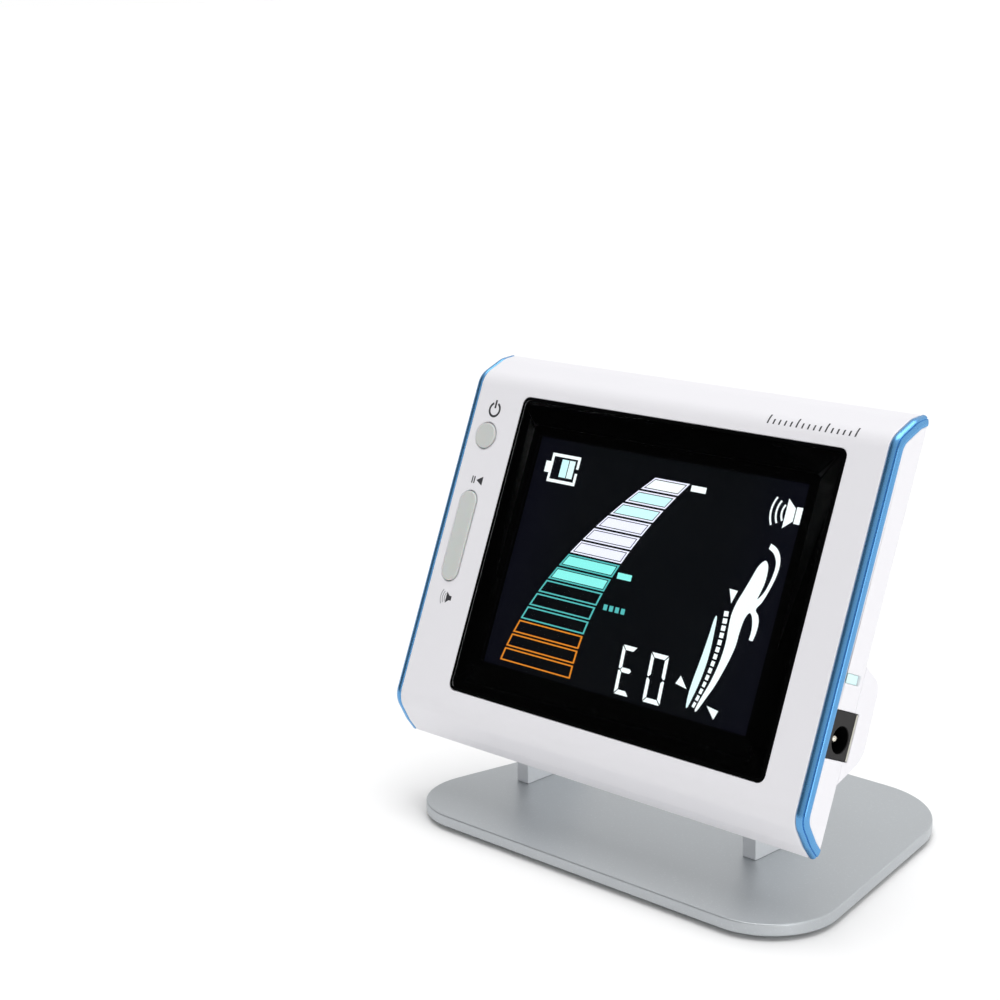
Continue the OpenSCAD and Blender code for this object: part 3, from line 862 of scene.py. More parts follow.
    def done(self, finish: Finish, body: str, *replaced: str, smooth: float = 35.0) -> Piece:
        """Sets the piece down in the object's frame and dresses it.

        Args:
            finish: Its finish.
            body: The body that it moves with.
            *replaced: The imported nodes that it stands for.
            smooth: Faces that meet at less than this many degrees shade as one.

        Returns:
            The piece.
        """
        self.work(lambda: bpy.ops.mesh.normals_make_consistent(inside=False)
                  if not replaced else None)
        self.obj.data.transform(self.bench)
        self.obj.data.materials.clear()
        self.obj.data.materials.append(finish.material())
        select_only(self.obj)
        bpy.ops.object.shade_smooth_by_angle(angle=math.radians(smooth))
        self.modifier("WEIGHTED_NORMAL", mode="FACE_AREA", weight=80, keep_sharp=True)
        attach(self.obj, body)
        if replaced:
            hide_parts(*replaced)
        log.info("%s: %d faces, on %s", self.name, len(self.obj.data.polygons), body)
        return self


def dress_node(node: str, finish: Finish) -> None:
    """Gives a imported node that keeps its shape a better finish.

    Args:
        node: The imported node's name.
        finish: Its finish.
    """
    obj = frame["nodes"][node]
    obj.data.materials.clear()
    obj.data.materials.append(finish.material())
    log.info("%s: kept, in %s", node, finish.name)


def runs_rearward(a: Vector, b: Vector) -> bool:
    """Whether an edge runs straight to the rear on the head's bench."""
    return abs(a.x - b.x) + abs(a.z - b.z) < STRAIGHT


# ---------- outlines ----------


def rectangle(left: float, low: float, right: float, high: float) -> Outline:
    """A rectangle's four corners."""
    return [(left, low), (right, low), (right, high), (left, high)]


def arc(centre: Point, radius: float, start: float, end: float, steps: int = 24) -> Outline:
    """Points on an arc, with its angles in degrees from +x."""
    turns = [math.radians(start + (end - start) * k / steps) for k in range(steps + 1)]
    return [(centre[0] + radius * math.cos(a), centre[1] + radius * math.sin(a))
            for a in turns]


def arc_band(centre: Point, radius: float, width: float, start: float, end: float) -> Outline:
    """A curved band about a middle radius."""
    return (arc(centre, radius + width / 2, start, end)
            + arc(centre, radius - width / 2, end, start))


def flowing(points: Outline, steps: int = 6) -> Outline:
    """A smooth closed outline through points; a point given twice is a sharp tip.

    Args:
        points: The points that it passes.
        steps: How many points each stretch gets.

    Returns:
        The smooth outline.
    """
    count = len(points)
    made: Outline = []
    for index in range(count):
        a, b, c, d = (Vector(points[(index + k) % count]) for k in (-1, 0, 1, 2))
        if (c - b).length < STRAIGHT:
            continue
        for step in range(steps):
            t = step / steps
            spot = 0.5 * ((2 * b) + (c - a) * t + (2 * a - 5 * b + 4 * c - d) * t ** 2
                          + (3 * b - a - 3 * c + d) * t ** 3)
            made.append((spot.x, spot.y))
    return made


# ---------- sub-assemblies ----------


@dataclass
class Stand:
    """The blasted base plate with its feet, and the two upright legs."""

    plate_edge: float = 0.4
    outline_from: float = 18.0
    leg_edge: float = 0.25
    foot_radius: float = 5.0
    foot_height: float = 1.2
    foot_edge: float = 0.35
    sole_rim: float = 1.5
    dish_rim: float = 0.3
    dish: float = 0.25
    foot_places: tuple[Point, ...] = ((-44, -35), (52.4, -35), (-32, 34), (40.4, 34))

    def build(self) -> None:
        """Builds the plate, the legs and the feet."""
        plate = Piece("blasted_base_plate", STAND_BENCH).from_node("base_plate")
        plate.pick(Part.EDGE, lambda a, b: a.z == b.z and min(abs(a.y), abs(b.y))
                   > self.outline_from).bevel(self.plate_edge, segments=4)
        plate.done(BLASTED_ALUMINIUM, "base", "base_plate")
        for node in ("left_leg", "right_leg"):
            leg = Piece(f"blasted_{node}", STAND_BENCH).from_node(node)
            leg.soften(self.leg_edge, segments=3).done(LEG_ALUMINIUM_LIGHTENED, "base", node)
        self.build_feet()
        dress_node("leg_screws", SCREW_STEEL)

    def build_feet(self) -> None:
        """Builds one foot with a rounded, slightly dished sole, and copies it."""
        first = Piece("rubber_foot_pads", STAND_BENCH)
        x, y = self.foot_places[0]
        first.rod((x, y, 0), (x, y, self.foot_height), self.foot_radius,
                  sides=64)
        first.pick(Part.FACE, lambda middle, normal: normal.z < -FACING)
        first.inset(self.sole_rim).inset(self.dish_rim, -self.dish)
        first.soften(self.foot_edge, segments=3)
        others = [first.copy((px - x, py - y, 0)) for px, py in self.foot_places[1:]]
        first.join(*others).done(PAD_RUBBER, "base", "rubber_feet")


@dataclass
class Casing:
    """The white front and rear shells with the battery cover."""

    front_edge: float = 0.3
    rear_edge: float = 0.25
    cover_edge: float = 0.2

    def build(self) -> None:
        """Builds the three shells."""
        shells = (("front_shell", self.front_edge), ("rear_shell", self.rear_edge),
                  ("battery_cover", self.cover_edge))
        for node, edge in shells:
            shell = Piece(f"moulded_{node}", HEAD_BENCH).from_node(node)
            shell.soften(edge, segments=3).done(CASING_WHITE, "head", node)
        for node in ("case_screws", "battery_cover_screws"):
            dress_node(node, SCREW_STEEL)


@dataclass
class TrimBeads:
    """The two blue beads that follow the head's side profile."""

    width: float = 2.5
    depth: float = 2.15
    crown: float = 1.9
    inner_edge: float = 0.5
    groove: float = 0.15
    overrun: float = 3.0
    bend_steps: int = 10

    def build(self) -> None:
        """Builds one bead at each side."""
        for side, node in ((-1, "left_trim"), (1, "right_trim")):
            self.bead(node, side)

    def bead(self, node: str, side: int) -> None:
        """Sweeps a grooved section along the profile and trims its ends at the rear.

        Args:
            node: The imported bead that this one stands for.
            side: -1 for the left bead, 1 for the right.
        """
        outer = side * SHAPE.half_width
        inner = side * (SHAPE.half_width - self.width)
        piece = Piece(f"{node}_bead", HEAD_BENCH)
        piece.box((min(inner, outer), 0, SHAPE.flat_bottom),
                  (max(inner, outer), self.depth, SHAPE.flat_top))
        self.front_edge(piece, outer).bevel(self.crown, segments=14)
        nook = self.crown * (1 - math.sqrt(0.5))
        piece.pick(Part.VERTEX, lambda place: abs(place.y - nook) < NEAR * 2
                   and abs(abs(outer - place.x) - nook) < NEAR * 2)
        piece.move((-side * self.groove, self.groove, 0))
        self.front_edge(piece, inner).bevel(self.inner_edge, segments=5)
        self.sweep_end(piece, 1, SHAPE.high, SHAPE.flat_top)
        self.sweep_end(piece, -1, SHAPE.low, SHAPE.flat_bottom)
        piece.cut_off((0, SHAPE.depth, 0), (0, 1, 0))
        piece.done(TRIM_BLUE, "head", node, smooth=40)

    def front_edge(self, piece: Piece, x: float) -> Piece:
        """Picks the long front edge that runs at one x."""
        return piece.pick(Part.EDGE, lambda a, b: abs(a.z - b.z) > self.width
                          and abs(a.x - x) < NEAR and a.y < NEAR)

    def sweep_end(self, piece: Piece, up: int, corners: Sequence[Point],
                  height: float) -> None:
        """Carries the section on round both bends of one end and past the rear edge.

        Args:
            piece: The bead.
            up: 1 for the upper end, -1 for the lower.
            corners: The end's corners as [depth, height].
            height: Height at which the first bend starts.
        """
        square = 90
        spot, heading = Vector((0, 0, height)), 0.0
        turns = SHAPE.turns(corners)
        lengths = [math.dist(a, b) for a, b in zip(corners, corners[1:])]
        straights = (lengths[0] - SHAPE.bend_reach(turns[0]) - SHAPE.bend_reach(turns[1]),
                     lengths[1] + self.overrun)
        for turn, straight in zip(turns, straights):
            rearward = self.heading(up, heading + square)
            self.end_face(piece, self.heading(up, heading))
            piece.spin(up * turn, self.bend_steps, spot + rearward * SHAPE.bend, (1, 0, 0))
            spot += rearward * SHAPE.bend
            heading += turn
            spot -= self.heading(up, heading + square) * SHAPE.bend
            run = self.heading(up, heading) * straight
            self.end_face(piece, self.heading(up, heading)).extrude(run)
            spot += run

    def heading(self, up: int, degrees: float) -> Vector:
        """The way an end runs after turning to the rear by so many degrees."""
        angle = math.radians(degrees)
        return Vector((0, math.sin(angle), up * math.cos(angle)))

    def end_face(self, piece: Piece, facing: Vector) -> Piece:
        """Picks the sweep's end face, the outermost one that faces a direction.

        Args:
            piece: The bead.
            facing: Where the end face looks.

        Returns:
            The bead.
        """
        reach = max(face.center.dot(facing) for face in piece.obj.data.polygons
                    if face.normal.dot(facing) > SAME_WAY)
        return piece.pick(Part.FACE, lambda middle, normal: normal.dot(facing) > SAME_WAY
                          and middle.dot(facing) > reach - NEAR)


@dataclass
class Screen:
    """The cover glass, its black border and the display behind it."""

    width: float = 102.0
    height: float = 78.0
    corner: float = 2.0
    edge: float = 0.06
    rim: float = 0.2
    gap: float = 0.05
    border: float = 0.8
    ink: float = 0.03
    window_width: float = 86.0
    window_height: float = 60.0
    liner: float = 0.25
    liner_front: float = 1.1
    liner_back: float = 2.03

    def sheet(self, name: str, inset: float, low: float, high: float) -> Piece:
        """A sheet with round corners.

        Args:
            name: The piece's name.
            inset: How far its outline lies inside the glass's outline.
            low: Depth of its front.
            high: Depth of its back.

        Returns:
            The piece.
        """
        half_w, half_h = self.width / 2 - inset, self.height / 2 - inset
        piece = Piece(name, HEAD_BENCH)
        piece.box((SHAPE.screen_x - half_w, low, -half_h),
                  (SHAPE.screen_x + half_w, high, half_h))
        piece.pick(Part.EDGE, runs_rearward)
        return piece.bevel(self.corner - inset, segments=8)

    def window(self, name: str, inset: float, low: float, high: float) -> Piece:
        """A block that fills the window in front of the display, set in all round."""
        half_w, half_h = self.window_width / 2 - inset, self.window_height / 2 - inset
        return Piece(name, HEAD_BENCH).box((SHAPE.screen_x - half_w, low, -half_h),
                                           (SHAPE.screen_x + half_w, high, half_h))

    def build(self) -> None:
        """Builds the glass in its black edge and dresses what lies behind it."""
        glass = self.sheet("cover_glass_sheet", self.rim + self.gap, 0,
                           SHAPE.glass_thickness)
        glass.done(COVER_GLASS, "head", "screen_glass")
        rim = self.sheet("cover_glass_black_edge", 0, 0, SHAPE.glass_thickness)
        rim.soften(self.edge)
        rim.subtract(self.sheet("opening", self.rim, -1, SHAPE.glass_thickness + 1))
        rim.done(MASK_BLACK, "head")
        border = self.sheet("cover_glass_printed_border", self.gap, -self.ink, 0)
        border.subtract(self.sheet("opening", self.border, -1, 1))
        border.done(MASK_BLACK, "head")
        liner = self.window("display_window_liner", self.gap, self.liner_front,
                            self.liner_back)
        liner.subtract(self.window("opening", self.liner, 0, self.liner_back + 1))
        liner.done(MASK_BLACK, "head")
        dress_node("screen_mask", MASK_BLACK)
        dress_node("lcd_panel", DISPLAY_GROUND)
        dress_node("backlight", DIFFUSER)
        dress_node("lcd_ribbon", RIBBON_FILM)


@dataclass
class DisplayDrawing:
    """Everything that lights up on the display.

    Places are what the eye sees through the front of the glass; the drawing lies a little
    deeper and is moved sideways by `shift` so that it shows there.
    """

    depth: float = 2.04
    thickness: float = 0.03
    shift: float = -1.6
    column_top: float = 24.7
    column_foot: float = -28.7
    bars: int = 14
    bar_gap: float = 0.5
    left_foot: float = -33.0
    left_slope: float = 0.177
    left_bow: float = 0.00885
    right_foot: float = -8.7
    right_start: float = -26.0
    right_bow: float = 0.0083
    line: float = 0.34
    fill_gap: float = 0.2
    bar_lean: float = 1.4
    digit_line: float = 1.15
    digit_gap: float = 0.16
    digit_lean: float = -0.065
    wave_line: float = 0.5

    def show(self, name: str, outlines: list[Outline], finish: Finish) -> None:
        """Makes one lit piece of the drawing.

        Args:
            name: The piece's name.
            outlines: Its outlines, where the eye sees them.
            finish: Its colour.
        """
        moved = [[(x + self.shift, height) for x, height in outline] for outline in outlines]
        Piece(name, HEAD_BENCH).drawing(moved, self.depth, self.thickness).done(
            finish, "head", smooth=20)

    def build(self) -> None:
        """Draws the column of bars, the tooth, the readout and the small signs."""
        self.build_column()
        self.build_marks()
        self.build_battery()
        self.build_readout()
        self.build_loudspeaker()
        self.build_tooth()

    # the column of bars

    def bar(self, index: int, inset: float) -> Outline:
        """One bar of the column.

        Args:
            index: Its place, counted from the top.
            inset: How far it is set in all round.

        Returns:
            The bar's outline.
        """
        pitch = (self.column_top - self.column_foot) / self.bars
        high = self.column_top - index * pitch - inset
        low = self.column_top - (index + 1) * pitch + self.bar_gap + inset
        sideways = inset * self.bar_lean

        def left(height: float) -> float:
            """The column's left edge."""
            rise = height - self.column_foot
            return self.left_foot + self.left_slope * rise + self.left_bow * rise ** 2

        def right(height: float) -> float:
            """The column's right edge."""
            return self.right_foot + self.right_bow * max(0, height - self.right_start) ** 2

        return [(left(low) + sideways, low), (right(low) - sideways, low),
                (right(high) - sideways, high), (left(high) + sideways, high)]

    def frame_of(self, index: int) -> list[Outline]:
        """A bar's frame: its outline and the hole inside it."""
        return [self.bar(index, 0), self.bar(index, self.line)]

    def build_column(self) -> None:
        """Draws the bars: lit ones are filled, the others are only framed."""
        fills = ((LIT_WHITE, (0,), "white"), (LIT_PALE, (1, 2), "pale"),
                 (LIT_LILAC, (3, 4, 5), "lilac"), (LIT_TEAL, (6, 7), "teal"))
        for finish, indices, label in fills:
            self.show(f"display_bars_{label}",
                      [self.bar(k, self.line + self.fill_gap) for k in indices], finish)
        teal, orange = 6, 11
        frames = ((LIT_LILAC, range(teal), "lilac"), (LINE_TEAL, range(teal, orange), "teal"),
                  (LINE_ORANGE, range(orange, self.bars), "orange"))
        for finish, indices, label in frames:
            outlines = [outline for k in indices for outline in self.frame_of(k)]
            self.show(f"display_bar_frames_{label}", outlines, finish)

    def build_marks(self) -> None:
        """Draws the dashes beside the column and the small arrows round the tooth."""
        self.show("display_upper_dash", [rectangle(13.3, 23.05, 17.9, 24.55)], LIT_WHITE)
        self.show("display_middle_dash", [rectangle(-2.2, -1.45, 2.3, 0.1)], LIT_TEAL)
        squares = [rectangle(x, -9.7, x + 1.2, -8.3) for x in (-4.0, -2.1, -0.2, 1.7)]
        self.show("display_row_of_squares", squares, LINE_TEAL)
        arrows: list[Outline] = [
            [(31.9, 2.3), (34.4, 2.2), (33.4, -1.0)],
            [(24.4, -20.3), (23.4, -22.4), (27.0, -23.0)],
            [(33.9, -25.5), (37.5, -26.0), (36.7, -28.2)],
        ]
        self.show("display_arrows", arrows, LIT_WHITE)

    def build_battery(self) -> None:
        """Draws the battery sign."""
        left, right, low, high, wall = -33.1, -23.4, 18.7, 26.2, 0.8
        gap_low, gap_high = 21.9, 23.0
        cell_low, cell_high = 20.3, 24.9
        inner_left, inner_right = left + wall, right - wall
        inner_low, inner_high = low + wall, high - wall
        shell = [(inner_right, gap_low), (inner_right, inner_low), (inner_left, inner_low),
                 (inner_left, inner_high), (inner_right, inner_high), (inner_right, gap_high),
                 (right, gap_high), (right, high), (left, high), (left, low), (right, low),
                 (right, gap_low)]
        terminal = rectangle(left - 1.6, low + 2.3, left - 0.02, high - 2.3)
        self.show("display_battery_frame", [shell, terminal], LIT_WHITE)
        self.show("display_battery_level",
                  [rectangle(-29.4, cell_low, -27.1, cell_high)], LIT_PALE)
        self.show("display_battery_charge",
                  [rectangle(-26.8, cell_low, -24.9, cell_high)], LIT_FAINT)

    # the readout

    def segment(self, which: str, left: float, low: float, width: float,
                height: float) -> Outline:
        """One segment of a seven-segment figure.

        Args:
            which: The segment's usual letter, from a to g.
            left: The figure's left side at its foot.
            low: The figure's foot.
            width: The figure's width.
            height: The figure's height.

        Returns:
            The segment's outline.
        """
        t, gap, lean = self.digit_line, self.digit_gap, self.digit_lean
        mid = height / 2
        tip, nose, shoulder = t * 0.35, t * 0.55, t * 0.6
        shapes = {
            "a": [(gap, height), (width - gap, height), (width - t, height - t),
                  (t, height - t)],
            "d": [(gap, 0), (t, t), (width - t, t), (width - gap, 0)],
            "g": [(t, mid - t / 2), (nose, mid), (t, mid + t / 2),
                  (width - t, mid + t / 2), (width - nose, mid), (width - t, mid - t / 2)],
            "f": [(0, height - gap * 2), (t - gap, height - t - gap), (t - gap, mid + shoulder),
                  (tip, mid + gap), (0, mid + gap * 2)],
            "e": [(0, gap * 2), (0, mid - gap * 2), (tip, mid - gap),
                  (t - gap, mid - shoulder), (t - gap, t + gap)],
        }
        mirrored = {"b": "f", "c": "e"}
        if which in mirrored:
            points = [(width - x, y) for x, y in shapes[mirrored[which]]]
        else:
            points = shapes[which]
        return [(left + x + y * lean, low + y) for x, y in points]

    def build_readout(self) -> None:
        """Draws the two figures of the readout."""
        foot, height = -28.6, 12.0
        figures = ((5.9, 4.6, "adefg"), (15.0, 5.4, "abcdef"))
        outlines = [self.segment(letter, left, foot, width, height)
                    for left, width, letters in figures for letter in letters]
        self.show("display_readout", outlines, LIT_WHITE)

    def build_loudspeaker(self) -> None:
        """Draws the loudspeaker sign with its three waves."""
        box = rectangle(44.9, 20.1, 46.6, 24.1)
        cone = [(42.1, 18.6), (44.6, 20.6), (44.6, 23.7), (42.1, 25.7)]
        middle, leftward = (44.2, 22.2), 180
        waves = [arc_band(middle, radius, self.wave_line, leftward - reach, leftward + reach)
                 for radius, reach in ((3.2, 36), (4.75, 34), (6.3, 32))]
        self.show("display_loudspeaker", [box, cone, *waves], LIT_WHITE)

    # the tooth

    def build_tooth(self) -> None:
        """Draws the tooth with its root, its gum line and the dashed canal."""
        body = flowing([
            (39.8, 10.4), (38.3, 8.7), (37.2, 5.7), (36.0, 2.4), (34.9, -0.5), (34.3, -3.5),
            (34.4, -6.5), (34.7, -10.2), (34.5, -13.8), (33.9, -17.3), (33.0, -20.7),
            (31.9, -23.7), (30.9, -27.0), (31.5, -27.2), (33.2, -23.8), (34.8, -20.4),
            (36.1, -16.7), (37.1, -13.3), (37.7, -10.2), (37.8, -7.2), (38.1, -4.4),
            (38.7, -2.7), (39.4, -2.2), (40.1, -2.9), (40.7, -4.4), (41.0, -6.3),
            (40.9, -8.3), (40.9, -8.3), (42.0, -8.4), (42.0, -8.4), (42.4, -6.4),
            (42.4, -4.1), (41.8, -2.4), (40.7, -1.1), (41.9, 0.9), (43.0, 3.7),
            (43.9, 6.9), (44.2, 9.9), (43.6, 12.2), (42.2, 13.8), (40.3, 14.6),
            (40.3, 14.6), (40.0, 13.3), (40.0, 13.3), (41.6, 12.5), (42.7, 11.1),
            (43.1, 9.6), (43.0, 7.6), (42.5, 5.2), (41.7, 3.0), (40.4, 1.3),
            (40.8, 3.0), (41.3, 5.4), (41.3, 8.1), (40.8, 9.8)])
        root = flowing([
            (30.1, -4.6), (29.7, -5.9), (29.5, -8.9), (29.1, -13.1), (28.6, -17.2),
            (28.1, -21.0), (27.9, -24.1), (28.1, -26.9), (28.6, -27.0), (29.2, -24.9),
            (30.0, -21.6), (30.6, -18.1), (30.9, -14.7), (30.9, -11.3), (30.7, -8.0),
            (30.5, -5.4)])
        self.show("display_tooth", [body], LIT_WHITE)
        self.show("display_tooth_root", [root], LIT_FAINT)
        self.build_canal()

    def build_canal(self) -> None:
        """Draws the dashed canal, narrower towards its foot."""
        start, pull, end = Vector((32.7, -3.0)), Vector((34.0, -15.0)), Vector((29.9, -27.2))
        dashes, share, wide, narrow = 14, 0.72, 1.3, 0.75

        def spot(t: float) -> Vector:
            """The canal's middle line."""
            return start * (1 - t) ** 2 + pull * 2 * t * (1 - t) + end * t ** 2

        outlines: list[Outline] = []
        for index in range(dashes):
            first, last = index / dashes, (index + share) / dashes
            along = (spot(last) - spot(first)).normalized()
            across = Vector((-along.y, along.x)) * (wide + (narrow - wide) * first) / 2
            corners = (spot(first) - across, spot(first) + across, spot(last) + across,
                       spot(last) - across)
            outlines.append([(c.x, c.y) for c in corners])
        self.show("display_canal", outlines, LIT_WHITE)


@dataclass
class Keys:
    """The two silicone keys, their switches, and the signs printed beside them."""

    middle: float = -58.2
    rounding: float = 0.32
    ink_depth: float = 0.0
    ink_thickness: float = 0.02
    line: float = 0.6
    wave_line: float = 0.25
    top: float = -0.3
    corner: float = 0.1
    power_height: float = 27.2
    power_size: float = 6.8
    rocker_width: float = 5.7
    rocker_length: float = 24.2
    hole_gap: float = 0.3
    collar_gap: float = 0.22
    collar_depths: tuple[float, float] = (0.1, 0.4)

    def build(self) -> None:
        """Builds the keys and prints their signs."""
        for node in ("power_key", "rocker_key"):
            key = Piece(f"silicone_{node}", HEAD_BENCH).from_node(node)
            key.pick(Part.EDGE, lambda a, b: max(a.y, b.y) < self.top)
            key.bevel(self.rounding, segments=5)
            key.soften(self.corner, sharp=60).done(KEY_SILICONE, node, node, smooth=50)
        dress_node("key_switches", SWITCH_BLACK)
        dress_node("rocker_pivot", SCREW_STEEL)
        self.build_collar("power_key_collar", self.power_height, self.power_size,
                          self.power_size)
        self.build_collar("rocker_key_collar", 0, self.rocker_width, self.rocker_length)
        self.print_signs()

    def pill(self, name: str, height: float, width: float, length: float) -> Piece:
        """A pill-shaped block in the panel, or a round one when width and length agree.

        Args:
            name: The block's name.
            height: Height of its middle on the panel.
            width: Its width.
            length: Its length.

        Returns:
            The block.
        """
        low, high = self.collar_depths
        block = Piece(name, HEAD_BENCH)
        block.box((self.middle - width / 2, low, height - length / 2),
                  (self.middle + width / 2, high, height + length / 2))
        block.pick(Part.EDGE, runs_rearward)
        return block.bevel(width / 2 - STRAIGHT, segments=16)

    def build_collar(self, name: str, height: float, width: float, length: float) -> None:
        """Fills most of the gap round a key with a thin pale collar.

        Args:
            name: The collar's name.
            height: Height of the key's middle on the panel.
            width: The key's width.
            length: The key's length.
        """
        outer, inner = self.hole_gap * 2, self.collar_gap * 2
        collar = self.pill(name, height, width + outer, length + outer)
        collar.subtract(self.pill("opening", height, width + inner, length + inner))
        collar.done(CASING_WHITE, "head")

    def printed(self, name: str, outlines: list[Outline], finish: Finish) -> None:
        """Prints a sign on the panel."""
        Piece(name, HEAD_BENCH).drawing(outlines, self.ink_depth, self.ink_thickness).done(
            finish, "head", smooth=20)

    def print_signs(self) -> None:
        """Prints the signs for power, start and sound."""
        power, ring_radius = (-57.4, 34.3), 1.8
        ring = arc_band(power, ring_radius, self.line, 115, 425)
        stem = rectangle(power[0] - self.line / 2, power[1] + 0.4,
                         power[0] + self.line / 2, power[1] + 2.6)
        self.printed("printed_power_sign", [ring, stem], PRINT_INK)
        start = (-57.0, 15.2)
        bars = [rectangle(start[0] - 2.0 + step, start[1] - 0.95, start[0] - 1.6 + step,
                          start[1] + 0.95) for step in (0, 0.75)]
        arrow = [(start[0] - 0.3, start[1]), (start[0] + 1.9, start[1] - 1.2),
                 (start[0] + 1.9, start[1] + 1.2)]
        self.printed("printed_start_sign", [*bars, arrow], PRINT_INK)
        sound = (-57.0, -16.5)
        horn = [(sound[0] - 0.1, sound[1] - 1.5), (sound[0] + 1.0, sound[1] - 0.6),
                (sound[0] + 1.8, sound[1] - 0.6), (sound[0] + 1.8, sound[1] + 0.6),
                (sound[0] + 1.0, sound[1] + 0.6), (sound[0] - 0.1, sound[1] + 1.5)]
        self.printed("printed_sound_sign", [horn], PRINT_INK)
        waves = [arc_band((sound[0] + 1.2, sound[1]), radius, self.wave_line, 145, 215)
                 for radius in (1.9, 2.6, 3.3)]
        self.printed("printed_sound_waves", waves, PALE_INK)


@dataclass
class ScaleMark:
    """A plain row of ticks printed on the panel's upper bend."""

    left: float = 30.0
    right: float = 55.0
    low: float = 42.1
    short: float = 1.4
    long: float = 2.6
    ticks: int = 16
    every: int = 5
    steps: int = 5
    line: float = 0.42
    thickness: float = 0.02

    def build(self) -> None:
        """Draws the ticks flat and lays them round the bend."""
        pitch = (self.right - self.left) / (self.ticks - 1)
        outlines = []
        for index in range(self.ticks):
            tall = self.long if index % self.every == 0 else self.short
            x = self.left + index * pitch
            rise = [self.low + tall * k / self.steps for k in range(self.steps + 1)]
            outlines.append([(x + self.line / 2, h) for h in rise]
                            + [(x - self.line / 2, h) for h in reversed(rise)])
        piece = Piece("printed_scale_mark", HEAD_BENCH)
        piece.drawing(outlines, 0.0, self.thickness)
        self.lay_round_bend(piece)
        piece.done(PRINT_INK, "head", smooth=20)

    def lay_round_bend(self, piece: Piece) -> None:
        """Moves the mark's points from the flat onto the panel's upper bend.

        Args:
            piece: The mark.
        """
        for vertex in piece.obj.data.vertices:
            over = vertex.co.z - SHAPE.flat_top
            if over > 0:
                angle = over / SHAPE.bend
                reach = SHAPE.bend - vertex.co.y
                vertex.co.y = SHAPE.bend - reach * math.cos(angle)
                vertex.co.z = SHAPE.flat_top + reach * math.sin(angle)


